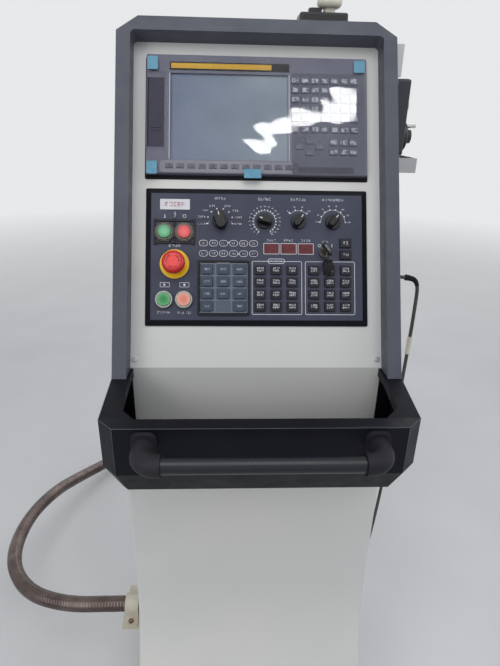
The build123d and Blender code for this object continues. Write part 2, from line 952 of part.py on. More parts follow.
# Bodies of the push-buttons and of the key switch: ring in front, sleeve through the panel, block behind
with BuildPart() as switch_bodies:
    for across, up in button_places:
        with BuildSketch(face_at(across, up, operator_thickness)):
            Circle(button_ring_radius)
        extrude(amount=button_ring_height)
        with BuildSketch(face_at(across, up, operator_thickness + button_ring_floor)):
            Circle(button_ring_radius - button_ring_wall)
        extrude(amount=button_ring_height, mode=Mode.SUBTRACT)
        with BuildSketch(face_at(across, up, operator_thickness + button_ring_floor)):
            Circle(button_body_radius)
        extrude(amount=-button_depth)
        with BuildSketch(face_at(across, up, -button_depth / 2)):
            Rectangle(switch_block_width, switch_block_height)
        extrude(amount=-button_depth / 2)
        with BuildSketch(face_at(across, up, operator_thickness + button_ring_floor)):
            Circle(button_stem + seat_gap)
        extrude(amount=-button_depth / 2 - operator_thickness, mode=Mode.SUBTRACT)
    with BuildSketch(face_at(key_switch_across, key_switch_up, operator_thickness)):
        Circle(key_barrel_radius)
    extrude(amount=key_barrel_height)
    with BuildSketch(face_at(key_switch_across, key_switch_up)):
        Rectangle(key_block, key_block)
    extrude(amount=-key_block)
    with BuildSketch(face_at(key_switch_across, key_switch_up)):
        Circle(key_plug_radius + seat_gap)
    extrude(amount=operator_thickness)
    with BuildSketch(face_at(key_switch_across, key_switch_up, operator_thickness + key_barrel_height)):
        Circle(key_plug_radius + running_gap)
    extrude(amount=-(operator_thickness + key_barrel_height + key_block), mode=Mode.SUBTRACT)
finish(switch_bodies, "switch_bodies")


def push_button(across, up, name):
    """A button cap with its stem, standing just proud of the ring."""
    cap_low = operator_thickness + button_ring_floor + button_travel + seat_gap
    with BuildPart() as cap:
        with BuildSketch(face_at(across, up, cap_low)):
            Circle(button_cap_radius)
        extrude(amount=button_cap_height)
        cap_front = cap.faces().sort_by(Axis((0, 0, 0), face_plane.z_dir))[-1]
        fillet(cap_front.edges(), button_cap_edge)
        with BuildSketch(face_at(across, up, cap_low)):
            Circle(button_stem)
        extrude(amount=-(operator_thickness + button_travel))
    finish(cap, name)


push_button(button_left, power_up, "power_on_button")
push_button(button_right, power_up, "power_off_button")
push_button(button_left, cycle_up, "start_button")
push_button(button_right, cycle_up, "stop_button")

# Emergency stop: yellow collar, plunger and a head that turns on the plunger's tip
with BuildPart() as estop_collar:
    with BuildSketch(face_at(estop_across, estop_up, operator_thickness)):
        Circle(estop_collar_radius)
        Circle(estop_stem + seat_gap, mode=Mode.SUBTRACT)
    extrude(amount=estop_collar_height)
    with BuildSketch(face_at(estop_across, estop_up, 0)):
        Rectangle(estop_block_width, estop_block_height)
        Circle(estop_stem + seat_gap, mode=Mode.SUBTRACT)
    extrude(amount=-estop_block_depth)
finish(estop_collar, "estop_collar")

head_low = operator_thickness + estop_collar_height + estop_travel + estop_head_gap
with BuildPart() as estop_plunger:
    with BuildSketch(face_at(estop_across, estop_up, -estop_block_depth / 2)):
        Circle(estop_stem)
    extrude(amount=head_low + estop_block_depth / 2)
    with BuildSketch(face_at(estop_across, estop_up, head_low)):
        Circle(estop_tip)
    extrude(amount=estop_tip_length)
finish(estop_plunger, "estop_plunger")

with BuildPart() as estop_head:
    with BuildSketch(face_at(estop_across, estop_up, head_low + seat_gap)):
        Circle(estop_head_radius - estop_head_flare)
    extrude(amount=estop_head_flare, taper=-45)
    with BuildSketch(face_at(estop_across, estop_up, head_low + seat_gap + estop_head_flare)):
        Circle(estop_head_radius)
    extrude(amount=estop_head_height - estop_head_flare)
    head_front = estop_head.faces().sort_by(Axis((0, 0, 0), face_plane.z_dir))[-1]
    fillet(head_front.edges(), estop_head_round)
    with BuildSketch(face_at(estop_across, estop_up, head_low)):
        Circle(estop_tip + running_gap)
    extrude(amount=estop_tip_length + 2 * seat_gap, mode=Mode.SUBTRACT)
finish(estop_head, "estop_head")


def rotary_knob(across, angle, grip_width, grip_length, name):
    """A selector: round skirt, raised grip bar and a shaft through the panel."""
    knob_low = operator_thickness + seat_gap
    with BuildPart() as knob:
        with BuildSketch(face_at(across, knob_row_up, knob_low)):
            Circle(knob_skirt_radius)
        extrude(amount=knob_skirt_height, taper=knob_skirt_taper)
        with BuildSketch(face_at(across, knob_row_up, knob_low + knob_skirt_height)):
            SlotOverall(grip_length, grip_width, rotation=angle)
        extrude(amount=knob_grip_height, taper=knob_grip_taper)
        knob_front = knob.faces().sort_by(Axis((0, 0, 0), face_plane.z_dir))[-1]
        fillet(knob_front.edges(), knob_grip_edge)
        with BuildSketch(face_at(across, knob_row_up, knob_low)):
            Circle(knob_shaft_radius)
        extrude(amount=-(operator_thickness + knob_shaft_behind))
    finish(knob, name)


# Four rotary selectors in a row, each standing as its switch was left
rotary_knob(mode_across, mode_angle, mode_grip_width, mode_grip_length, "mode_knob")
rotary_knob(feed_across, feed_angle, knob_grip_width, knob_grip_length, "feed_knob")
rotary_knob(rapid_across, rapid_angle, knob_grip_width, knob_grip_length, "rapid_knob")
rotary_knob(spindle_across, spindle_angle, knob_grip_width, knob_grip_length, "spindle_knob")

# Key: its plug, blade and a flat bow that stands out from the panel
plug_front = operator_thickness + key_barrel_height
bow_low = plug_front + key_blade_show
bow_normal = face_plane.x_dir * cos(radians(key_turn)) + face_plane.y_dir * sin(radians(key_turn))
bow_plane = Plane(
    origin=face_plane.from_local_coords((key_switch_across, key_switch_up, bow_low + bow_length / 2)),
    x_dir=face_plane.z_dir,
    z_dir=bow_normal,
)
with BuildPart() as switch_key:
    with BuildSketch(face_at(key_switch_across, key_switch_up, plug_front)):
        Circle(key_plug_radius)
    extrude(amount=-(plug_front + key_block - key_plug_radius))
    with BuildSketch(face_at(key_switch_across, key_switch_up, plug_front)):
        Rectangle(key_blade_thickness, key_blade_width, rotation=key_turn)
    extrude(amount=key_blade_show + key_hole_radius)
    with BuildSketch(bow_plane):
        RectangleRounded(bow_length, bow_width, bow_corner)
        with Locations((bow_length / 2 - key_hole_inset, bow_width / 2 - key_hole_side)):
            Circle(key_hole_radius, mode=Mode.SUBTRACT)
    extrude(amount=bow_thickness / 2, both=True)
finish(switch_key, "switch_key")

# Spare key, hanging from the first by a wire ring
ring_top = bow_plane.from_local_coords((bow_length / 2 - key_hole_inset, bow_width / 2 - key_hole_side, 0))
ring_centre = ring_top - Vector(0, 0, key_ring_radius - key_ring_wire)
ring_foot = ring_centre - Vector(0, 0, key_ring_radius)
ring_plane = Plane(
    origin=ring_centre,
    x_dir=(0, 0, 1),
    z_dir=(cos(radians(key_ring_yaw)), -sin(radians(key_ring_yaw)), 0),
)
spare_plane = Plane(origin=ring_foot, x_dir=(1, -spare_yaw, 0), z_dir=(-spare_yaw, -1, 0))
with BuildPart() as spare_key:
    with BuildSketch(ring_plane):
        Circle(key_ring_radius + key_ring_wire)
        Circle(key_ring_radius - key_ring_wire, mode=Mode.SUBTRACT)
    extrude(amount=key_ring_wire, both=True)
    with BuildSketch(spare_plane.rotated((0, 0, spare_tilt))):
        with Locations((0, -bow_length / 2 + key_hole_inset)):
            RectangleRounded(bow_width, bow_length, bow_corner)
        with Locations((0, key_hole_inset - bow_length - key_blade_length / 2)):
            Rectangle(key_blade_width, key_blade_length + 2 * key_blade_root)
        Circle(key_hole_radius, mode=Mode.SUBTRACT)
    extrude(amount=key_blade_thickness / 2, both=True)
finish(spare_key, "spare_key")

# Indicator lamps: two rows of oval lenses
with BuildPart() as indicator_lamps:
    with BuildSketch(face_at(lamp_centre_across, lamp_centre_up, operator_thickness)):
        with GridLocations(lamp_pitch_across, lamp_pitch_up, lamp_columns, lamp_rows):
            Ellipse(lamp_width / 2, lamp_height / 2)
    extrude(amount=lamp_proud)
finish(indicator_lamps, "indicator_lamps")

# Number windows beside the lamps
with BuildPart() as display_windows:
    with BuildSketch(face_at(window_centre_across, window_up, operator_thickness)):
        with GridLocations(window_pitch, 1, window_count, 1):
            Rectangle(window_width, window_height)
    extrude(amount=window_proud)
finish(display_windows, "display_windows")

# Keypad: a raised field with its own frame on the left, keys in three fields
with BuildPart() as keypad_frame:
    with BuildSketch(face_at(pad_frame_across, pad_centre_up, operator_thickness)):
        RectangleRounded(pad_frame_width, pad_frame_height, pad_frame_radius)
    extrude(amount=pad_frame_proud)
    with BuildSketch(face_at(pad_frame_across, pad_centre_up, operator_thickness + pad_frame_proud)):
        Rectangle(pad_frame_width - 2 * pad_frame_band, pad_frame_height - 2 * pad_frame_band)
    extrude(amount=-pad_frame_drop, mode=Mode.SUBTRACT)
finish(keypad_frame, "keypad_frame")


def key_outline():
    """One keypad key: a rectangle with cut corners."""
    with BuildSketch(mode=Mode.PRIVATE) as outline:
        Rectangle(pad_key_width, pad_key_height)
        chamfer(outline.vertices(), pad_key_corner)
    return outline.sketch


pad_key = key_outline()
with BuildPart() as keypad_keys:
    for field_across, base, skipped in (
        (pad_frame_across + pad_frame_shift, pad_frame_proud - pad_frame_drop, True),
        (pad_middle_across, 0, False),
        (pad_right_across, 0, False),
    ):
        with BuildSketch(face_at(field_across, pad_centre_up, operator_thickness + base)):
            with GridLocations(pad_pitch_across, pad_pitch_up, pad_columns, pad_rows):
                add(pad_key)
            if skipped:
                with Locations((0, -pad_pitch_up * (pad_rows - 1) / 2)):
                    Rectangle(pad_pitch_across, pad_pitch_up, mode=Mode.SUBTRACT)
        extrude(amount=pad_key_proud, taper=pad_key_taper)
finish(keypad_keys, "keypad_keys")


def function_key(up, name):
    """A square-cornered key sunk in its own recess."""
    key_low = operator_thickness - f_key_recess + f_key_travel + seat_gap
    with BuildPart() as key:
        with BuildSketch(face_at(f_key_across, up, key_low)):
            Rectangle(f_key_width, f_key_height)
        extrude(amount=f_key_thickness)
        key_front = key.faces().sort_by(Axis((0, 0, 0), face_plane.z_dir))[-1]
        chamfer(key_front.edges(), f_key_edge)
    finish(key, name)


function_key(f_key_up, "f_key_1")
function_key(f_key_up - f_key_pitch, "f_key_2")

# Input and output module on four posts behind the operator panel
with BuildPart() as io_module:
    with BuildSketch(face_at(module_across, module_up, 0)):
        with GridLocations(module_width - module_post * 4, module_height - module_post * 4, 2, 2):
            Circle(module_post)
    extrude(amount=-module_standoff)
    with BuildSketch(face_at(module_across, module_up, -module_standoff)):
        Rectangle(module_width, module_height)
    extrude(amount=-module_depth)
    with BuildSketch(face_at(module_across, module_up, -module_standoff - module_depth)):
        with GridLocations(module_plug * 2, 1, module_plug_count, 1):
            Rectangle(module_plug, module_height / 2)
    extrude(amount=-module_post * 2)
finish(io_module, "io_module")

# Mounting rail and its row of terminal blocks on the hood's upright back wall
rail_face = column_rear - hood_wall
with BuildPart() as din_rail:
    with BuildSketch(Plane.YZ):
        with Locations((rail_face - rail_wall / 2, rail_up)):
            Rectangle(rail_wall, rail_crown)
        with Locations((rail_face - rail_depth / 2, rail_up)):
            with GridLocations(1, rail_crown - rail_wall, 1, 2):
                Rectangle(rail_depth, rail_wall)
        with Locations((rail_face - rail_depth + rail_wall / 2, rail_up)):
            with GridLocations(1, rail_crown + rail_lip - 2 * rail_wall, 1, 2):
                Rectangle(rail_wall, rail_lip)
    extrude(amount=rail_length / 2, both=True)
finish(din_rail, "din_rail")

block_back = rail_face - rail_depth
with BuildPart() as terminal_blocks:
    with BuildSketch(Plane.XZ.offset(-block_back)):
        with Locations((0, rail_up)):
            Rectangle(block_count * block_pitch, block_height)
    extrude(amount=block_depth, taper=block_taper)
    with BuildSketch(Plane.XZ.offset(-block_back + block_depth)):
        with Locations((0, rail_up)):
            with GridLocations(block_pitch, 1, block_count - 1, 1):
                Rectangle(block_slot, block_height)
    extrude(amount=-block_slot_depth, mode=Mode.SUBTRACT)
finish(terminal_blocks, "terminal_blocks")


def hinge_section(up):
    """A plane square to the service door's hinge line, its Y axis into the hood."""
    return Plane(
        origin=rear_plane.from_local_coords((hinge_across, up, hinge_lift)),
        x_dir=rear_plane.x_dir,
        z_dir=rear_plane.y_dir,
    )


# Service door on the sloped back: plate with stiffeners and the middle knuckles of its hinges
hinge_ups = (service_centre - hinge_spacing / 2, service_centre + hinge_spacing / 2)
hinge_middle = hinge_length - 2 * hinge_end - 2 * seat_gap
with BuildPart() as rear_door:
    with BuildSketch(rear_at(0, service_centre, door_lift)):
        RectangleRounded(door_width, door_length, service_corner)
    extrude(amount=door_plate)
    with BuildSketch(rear_at(0, service_centre, door_lift)):
        with GridLocations(rib_spacing, 1, 2, 1):
            Rectangle(door_plate, service_length - 4 * service_corner)
    extrude(amount=-rib_depth)
    for hinge_up in hinge_ups:
        with BuildSketch(rear_at(hinge_across - hinge_leaf / 2, hinge_up, door_lift + door_plate)):
            Rectangle(hinge_leaf, hinge_middle)
        extrude(amount=hinge_lift - door_lift - door_plate)
        with BuildSketch(hinge_section(hinge_up)):
            Circle(hinge_radius)
        extrude(amount=hinge_middle / 2, both=True)
        with BuildSketch(hinge_section(hinge_up)):
            Circle(hinge_pin_radius + running_gap)
        extrude(amount=hinge_middle, both=True, mode=Mode.SUBTRACT)
    with BuildSketch(rear_at(-latch_across, service_centre, door_lift)):
        Circle(latch_radius + running_gap)
    extrude(amount=door_plate, mode=Mode.SUBTRACT)
finish(rear_door, "rear_door")

# Fixed halves of the service door's hinges, with their pins
with BuildPart() as rear_door_hinges:
    for hinge_up in hinge_ups:
        leaf_start = hinge_across + hinge_radius
        with BuildSketch(rear_at(leaf_start + hinge_fixed_leaf / 2, hinge_up)):
            Rectangle(hinge_fixed_leaf, hinge_length)
        extrude(amount=door_lift)
        for end in (-1, 1):
            knuckle_up = hinge_up + end * (hinge_length - hinge_end) / 2
            with BuildSketch(hinge_section(knuckle_up)):
                Circle(hinge_radius)
                with Locations((hinge_radius / 2, hinge_lift / 2)):
                    Rectangle(hinge_radius, hinge_lift)
            extrude(amount=hinge_end / 2, both=True)
        with BuildSketch(hinge_section(hinge_up)):
            Circle(hinge_pin_radius)
        extrude(amount=hinge_length / 2, both=True)
finish(rear_door_hinges, "rear_door_hinges")

# Quarter-turn latch in the service door, its cam turned clear of the hood's edge
with BuildPart() as door_latch:
    with BuildSketch(rear_at(-latch_across, service_centre, door_lift + door_plate + running_gap)):
        Circle(latch_flange)
    extrude(amount=door_plate)
    with BuildSketch(rear_at(-latch_across, service_centre, door_lift + 2 * door_plate)):
        SlotOverall(2 * latch_radius, latch_grip, rotation=90)
    extrude(amount=latch_radius)
    with BuildSketch(rear_at(-latch_across, service_centre, door_lift + door_plate + running_gap)):
        Circle(latch_radius)
    extrude(amount=-(door_lift + door_plate + hood_wall + seat_gap + running_gap))
    with BuildSketch(rear_at(-latch_across, service_centre, -hood_wall - seat_gap)):
        with Locations((0, latch_reach / 2 - latch_grip / 2)):
            Rectangle(2 * latch_grip, latch_reach + latch_grip)
    extrude(amount=-latch_cam)
finish(door_latch, "door_latch")

# Signal tower: foot on the hood, pole, cup, stacked lenses and cap
with BuildPart() as tower_foot:
    with BuildSketch(Plane.XY.offset(hood_top)):
        with Locations((tower_foot_across, tower_back)):
            RectangleRounded(tower_foot_width, tower_foot_depth, tower_foot_corner)
    extrude(amount=tower_foot_height, taper=tower_foot_draft)
    fillet(tower_foot.faces().sort_by(Axis.Z)[-1].edges(), tower_foot_corner / 2)
    with BuildSketch(Plane.XY.offset(hood_top + tower_foot_height)):
        with Locations((tower_bump_across, tower_back)):
            RectangleRounded(tower_bump_width, tower_foot_depth / 2, tower_foot_corner)
    extrude(amount=tower_bump_height, taper=tower_foot_draft)
    with BuildSketch(Plane.XY.offset(hood_top)):
        with Locations((tower_across, tower_back)):
            Circle(tower_pole_radius)
    extrude(amount=2 * tower_foot_height, mode=Mode.SUBTRACT)
finish(tower_foot, "tower_foot")

with BuildPart() as tower_pole:
    with BuildSketch(Plane.XY.offset(hood_top)):
        with Locations((tower_across, tower_back)):
            Circle(tower_pole_radius)
            Circle(tower_pole_radius - tower_pole_wall, mode=Mode.SUBTRACT)
    extrude(amount=tower_cup_height + tower_cup_length / 2 - hood_top)
finish(tower_pole, "tower_pole")

tower_plane = Plane(origin=(tower_across, tower_back, 0), x_dir=(1, 0, 0), z_dir=(0, -1, 0))
tower_axis = Axis((tower_across, tower_back, 0), (0, 0, 1))
cup_top = tower_cup_height + tower_cup_length
with BuildPart() as tower_base:
    with BuildSketch(tower_plane):
        with BuildLine():
            Line((0, tower_cup_height), (tower_pole_radius + tower_cup_shoulder, tower_cup_height))
            TangentArc(
                (tower_pole_radius + tower_cup_shoulder, tower_cup_height),
                (tower_cup_radius, tower_cup_height + tower_cup_length / 3),
                tangent=(1, 0),
            )
            Polyline(
                (tower_cup_radius, tower_cup_height + tower_cup_length / 3),
                (tower_cup_radius, cup_top),
                (0, cup_top),
                (0, tower_cup_height),
            )
        make_face()
    revolve(axis=tower_axis)
    with BuildSketch(Plane.XY.offset(tower_cup_height)):
        with Locations((tower_across, tower_back)):
            Circle(tower_pole_radius + running_gap)
    extrude(amount=tower_cup_length / 2, mode=Mode.SUBTRACT)
finish(tower_base, "tower_base")

with BuildPart() as tower_lenses:
    for stage in range(tower_lens_count):
        lens_low = cup_top + stage * tower_lens_height
        with BuildSketch(Plane.XY.offset(lens_low)):
            with Locations((tower_across, tower_back)):
                Circle(tower_lens_radius)
        extrude(amount=tower_lens_height - tower_seam)
        with BuildSketch(Plane.XY.offset(lens_low)):
            with Locations((tower_across, tower_back)):
                Circle(tower_lens_radius - tower_lens_wall)
        extrude(amount=tower_lens_height - tower_seam - tower_lens_wall, mode=Mode.SUBTRACT)
        with BuildSketch(Plane.XY.offset(lens_low + tower_lens_height - tower_seam)):
            with Locations((tower_across, tower_back)):
                Circle(tower_lens_radius - tower_seam / 2)
        extrude(amount=tower_seam)
finish(tower_lenses, "tower_lenses")

cap_low = cup_top + tower_lens_count * tower_lens_height
with BuildPart() as tower_cap:
    with BuildSketch(Plane.XY.offset(cap_low)):
        with Locations((tower_across, tower_back)):
            Circle(tower_cup_radius)
    extrude(amount=tower_cap_height)
    fillet(tower_cap.faces().sort_by(Axis.Z)[-1].edges(), tower_cap_height / 2)
finish(tower_cap, "tower_cap")

# Handwheel pendant: back plate, box and the bores for its three shafts
body_out = pendant_offset
face_out = pendant_offset + pendant_depth
with BuildPart() as pendant_holder:
    with BuildSketch(right_at(pendant_back, pendant_low + pendant_height / 2)):
        RectangleRounded(pendant_width - 2 * pendant_corner, pendant_height + holder_extra, pendant_corner)
    extrude(amount=pendant_offset)
    with BuildSketch(right_at(pendant_back, pendant_low + pendant_height / 2, pendant_offset)):
        with GridLocations(1, pendant_height + holder_extra - 2 * pendant_corner, 1, 2):
            Circle(clamp_screw_radius)
    extrude(amount=clamp_head_height)
finish(pendant_holder, "pendant_holder")

with BuildPart() as pendant_body:
    with BuildSketch(right_at(pendant_back, pendant_low + pendant_height / 2, body_out)):
        RectangleRounded(pendant_width, pendant_height, pendant_corner)
    extrude(amount=pendant_depth - pendant_face)
    with BuildSketch(right_at(pendant_back, pendant_low + pendant_height / 2, face_out - pendant_face)):
        RectangleRounded(
            pendant_width - 2 * pendant_face_step,
            pendant_height - 2 * pendant_face_step,
            pendant_corner - pendant_face_step,
        )
    extrude(amount=pendant_face)
    fillet(pendant_body.faces().sort_by(Axis.X)[-1].edges(), pendant_face / 2)
    with BuildSketch(right_at(pendant_back, 0, face_out)):
        with Locations((0, wheel_up)):
            Circle(wheel_shaft_radius + running_gap)
        with Locations((0, axis_knob_up), (0, scale_knob_up)):
            Circle(small_shaft_radius + running_gap)
    extrude(amount=-(pendant_depth - pendant_face), mode=Mode.SUBTRACT)
    with BuildSketch(Plane.XY.offset(pendant_low)):
        with Locations((half_width + pendant_lead_out, pendant_back)):
            Circle(boot_radius + boot_lip)
    extrude(amount=-pendant_corner)
finish(pendant_body, "pendant_body")

wheel_low = face_out + seat_gap
with BuildPart() as hand_wheel:
    with BuildSketch(right_at(pendant_back, wheel_up, wheel_low)):
        Circle(wheel_radius)
    extrude(amount=wheel_thickness)
    fillet(hand_wheel.edges().filter_by(GeomType.CIRCLE), wheel_edge)
    with BuildSketch(right_at(pendant_back, wheel_up, wheel_low + wheel_thickness)):
        Circle(wheel_hub_radius)
    extrude(amount=wheel_hub_height, taper=wheel_hub_taper)
    with BuildSketch(right_at(pendant_back, wheel_up, wheel_low)):
        Circle(wheel_shaft_radius)
    extrude(amount=-(pendant_depth - pendant_face) / 2)
    with BuildSketch(right_at(pendant_back, wheel_up + crank_radius, wheel_low + wheel_thickness)):
        Circle(crank_pin_radius + running_gap)
    extrude(amount=-crank_pin_length, mode=Mode.SUBTRACT)
finish(hand_wheel, "hand_wheel")

crank_low = wheel_low + wheel_thickness + seat_gap
with BuildPart() as wheel_crank:
    with BuildSketch(right_at(pendant_back, wheel_up + crank_radius, crank_low)):
        Circle(crank_grip_radius)
    extrude(amount=crank_grip_length, taper=crank_grip_taper)
    fillet(wheel_crank.faces().sort_by(Axis.X)[-1].edges(), crank_grip_radius / 2)
    with BuildSketch(right_at(pendant_back, wheel_up + crank_radius, crank_low)):
        Circle(crank_pin_radius)
    extrude(amount=-(crank_pin_length - seat_gap))
finish(wheel_crank, "wheel_crank")


def pendant_knob(up, radius, length, name):
    """A small selector knob on the pendant's face, with its shaft."""
    with BuildPart() as knob:
        with BuildSketch(right_at(pendant_back, up, wheel_low)):
            Circle(radius)
        extrude(amount=length / 2)
        with BuildSketch(right_at(pendant_back, up, wheel_low + length / 2)):
            SlotOverall(2 * (radius - small_knob_inset), radius * small_knob_share, rotation=90)
        extrude(amount=length / 2)
        with BuildSketch(right_at(pendant_back, up, wheel_low)):
            Circle(small_shaft_radius)
        extrude(amount=-(pendant_depth - pendant_face) / 2)
    finish(knob, name)


pendant_knob(axis_knob_up, axis_knob_radius, axis_knob_length, "axis_knob")
pendant_knob(scale_knob_up, scale_knob_radius, scale_knob_length, "scale_knob")

# Cable gland in the hood's right side: thread, hexagon and dome round the lead
dome_out = gland_nut_length + gland_dome_length
with BuildPart() as cable_gland:
    with BuildSketch(right_at(gland_back, gland_height)):
        Circle(gland_thread_radius)
    extrude(amount=-gland_thread_length)
    with BuildSketch(right_at(gland_back, gland_height)):
        RegularPolygon(gland_nut_across / 2, 6, major_radius=False)
    extrude(amount=gland_nut_length)
    with BuildSketch(right_at(gland_back, gland_height, -hood_wall)):
        RegularPolygon(gland_nut_across / 2, 6, major_radius=False)
    extrude(amount=-gland_thread_length / 2)
    with BuildSketch(right_at(gland_back, gland_height, gland_nut_length)):
        Circle(gland_dome_radius)
    extrude(amount=gland_dome_length, taper=gland_dome_taper)
    with BuildSketch(right_at(gland_back, gland_height, dome_out)):
        Circle(lead_radius)
    extrude(amount=-(dome_out + gland_thread_length), mode=Mode.SUBTRACT)
finish(cable_gland, "cable_gland")


def fair_path(points):
    """Straight runs joined by tangent arcs, each as large as its two runs allow, and the arcs' radii."""
    corners = [Vector(*point) for point in points]
    radii = []
    for before, corner, after in zip(corners, corners[1:], corners[2:]):
        turn = (corner - before).get_angle(after - corner)
        run = min((corner - before).length, (after - corner).length)
        radii.append(bend_share * run / tan(radians(turn / 2)))
    with BuildLine() as path:
        FilletPolyline(*corners, radius=radii)
    return path.wire(), radii


# Pendant lead: out of the gland, down beside the column, round a slack bend and up to the pendant
lead_points = (
    (half_width + dome_out, gland_back, gland_height),
    (294, gland_back, gland_height),
    (308, 45, 1026),
    (309, 45.2, 988),
    (309.2, 45.8, 930),
    (308.2, 47.3, 840),
    (307, 50, 740),
    (305.8, 54, 640),
    (304.6, 60, 545),
    (303.2, 68, 455),
    (301.8, 78, 375),
    (300.4, 88, 322),
    (299, 97, 285),
    (295.2, 123, 262),
    (289.2, 160, 262),
    (284.6, 187, 286),
    (283, 196, 334),
    (281.6, 205, 397),
    (280, 214.5, 485),
    (278.6, 222.5, 580),
    (277.6, 228.6, 680),
    (276.8, 233.2, 780),
    (276.2, 236.8, 880),
    (275.7, 240, 985),
    (275.3, 242.4, 1080),
    (275.1, 243.9, 1160),
    (half_width + pendant_lead_out, pendant_back, pendant_low - pendant_corner - seat_gap),
)
lead_path, lead_radii = fair_path(lead_points)
with BuildPart() as pendant_lead:
    add(lead_path)
    with BuildSketch(Plane(origin=lead_path @ 0, z_dir=lead_path % 0)):
        Circle(lead_radius)
    sweep()
finish(pendant_lead, "pendant_lead")

# Strain-relief boot at the gland and marker sleeve further down, both slipped over the lead
with BuildPart() as lead_sleeves:
    with BuildSketch(right_at(gland_back, gland_height, dome_out)):
        Circle(boot_radius)
    with BuildSketch(right_at(gland_back, gland_height, dome_out + boot_length)):
        Circle(lead_radius + boot_lip)
    loft()
    with BuildSketch(right_at(gland_back, gland_height, dome_out)):
        Circle(lead_radius)
    extrude(amount=boot_length, mode=Mode.SUBTRACT)
    sleeve_top = Vector(*lead_points[4])
    sleeve_way = (Vector(*lead_points[5]) - sleeve_top).normalized()
    sleeve_plane = Plane(origin=sleeve_top + sleeve_way * sleeve_drop, z_dir=sleeve_way)
    with BuildSketch(sleeve_plane):
        Circle(sleeve_radius)
        Circle(lead_radius + running_gap, mode=Mode.SUBTRACT)
    extrude(amount=sleeve_length)
finish(lead_sleeves, "lead_sleeves")

# Bracket on the column's left side, and the saddle that clamps the conduit to it
bracket_top = conduit_height - conduit_radius - running_gap
with BuildPart() as conduit_bracket:
    with BuildSketch(Plane.XZ.offset(-bracket_front)):
        with BuildLine():
            Polyline(
                (-half_width, bracket_top),
                (-half_width - bracket_reach, bracket_top),
                (-half_width - bracket_reach, bracket_top - bracket_thickness),
                (-half_width - bracket_thickness, bracket_top - bracket_thickness),
                (-half_width - bracket_thickness, bracket_top - bracket_leg),
                (-half_width, bracket_top - bracket_leg),
                close=True,
            )
        make_face()
    extrude(amount=-bracket_depth)
    with BuildSketch(Plane.XY.offset(bracket_top)):
        with Locations((clamp_across, conduit_back)):
            with GridLocations(1, clamp_screw_spacing, 1, 2):
                Circle(clamp_screw_radius + running_gap)
    extrude(amount=-bracket_thickness, mode=Mode.SUBTRACT)
finish(conduit_bracket, "conduit_bracket")

saddle_bore = conduit_radius + running_gap
saddle_outer = conduit_radius + clamp_thickness
ear_reach = saddle_outer + clamp_ear
with BuildPart() as saddle_clamp:
    with BuildSketch(Plane.YZ.offset(clamp_across - clamp_width / 2)):
        with Locations((conduit_back, conduit_height)):
            Circle(saddle_outer)
        with Locations((conduit_back, bracket_top + clamp_thickness / 2)):
            Rectangle(2 * ear_reach, clamp_thickness)
        with Locations((conduit_back, conduit_height)):
            Rectangle(2 * saddle_outer, 2 * saddle_outer, align=(Align.CENTER, Align.MAX))
            Circle(saddle_bore, mode=Mode.SUBTRACT)
            Rectangle(2 * saddle_bore, 4 * saddle_bore, align=(Align.CENTER, Align.MAX), mode=Mode.SUBTRACT)
        with Locations((conduit_back, bracket_top)):
            Rectangle(4 * ear_reach, ear_reach, align=(Align.CENTER, Align.MAX), mode=Mode.SUBTRACT)
    extrude(amount=clamp_width)
    with BuildSketch(Plane.XY.offset(bracket_top)):
        with Locations((clamp_across, conduit_back)):
            with GridLocations(1, clamp_screw_spacing, 1, 2):
                Circle(clamp_screw_radius + running_gap)
    extrude(amount=clamp_thickness, mode=Mode.SUBTRACT)
finish(saddle_clamp, "saddle_clamp")

with BuildPart() as clamp_screws:
    with BuildSketch(Plane.XY.offset(bracket_top + clamp_thickness)):
        with Locations((clamp_across, conduit_back)):
            with GridLocations(1, clamp_screw_spacing, 1, 2):
                RegularPolygon(clamp_head_radius, 6)
    extrude(amount=clamp_head_height)
    with BuildSketch(Plane.XY.offset(bracket_top + clamp_thickness)):
        with Locations((clamp_across, conduit_back)):
            with GridLocations(1, clamp_screw_spacing, 1, 2):
                Circle(clamp_screw_radius)
    extrude(amount=-clamp_screw_length)
    with BuildSketch(Plane.XY.offset(bracket_top - bracket_thickness)):
        with Locations((clamp_across, conduit_back)):
            with GridLocations(1, clamp_screw_spacing, 1, 2):
                RegularPolygon(clamp_head_radius, 6)
    extrude(amount=-clamp_head_height)
finish(clamp_screws, "clamp_screws")

# Conduit: from inside the column over the bracket, along the floor behind the console into a coil
entry_way = Vector(cos(radians(coil_heading)), sin(radians(coil_heading)), 0)
coil_start = Vector(*coil_entry)
coil_centre = coil_start + entry_way.rotate(Axis.Z, -90) * coil_radius
merge_run = sqrt((coil_radius + conduit_radius) ** 2 - coil_radius**2)
coil_skin = coil_start - entry_way * merge_run
conduit_points = (
    (-half_width + conduit_inside, conduit_back, conduit_height),
    (-330, conduit_back, conduit_height),
    (-445, 12, 221),
    (-560, 62, 207),
    (-640, 170, 200),
    (-655, 330, 190),
    (-628, 490, 155),
    (-592, 612, 108),
    (-548, 735, 62),
    (-485, 850, 30),
    (-385, 930, 20.5),
    tuple(coil_skin),
)
conduit_path, conduit_radii = fair_path(conduit_points)
tail_points = (
    (-308, 899, 60),
    (-266, 984, 62),
    (-202, 1054, 58),
    (-120, 1101, 44),
    (-27, 1128, 29),
    (77, 1151, 26),
)
tail_path, tail_radii = fair_path(tail_points)
with BuildPart() as conduit:
    for way in (conduit_path, tail_path):
        with BuildLine():
            add(way)
        with BuildSketch(Plane(origin=way @ 0, z_dir=way % 0)):
            Circle(conduit_radius)
        sweep()
finish(conduit, "conduit")

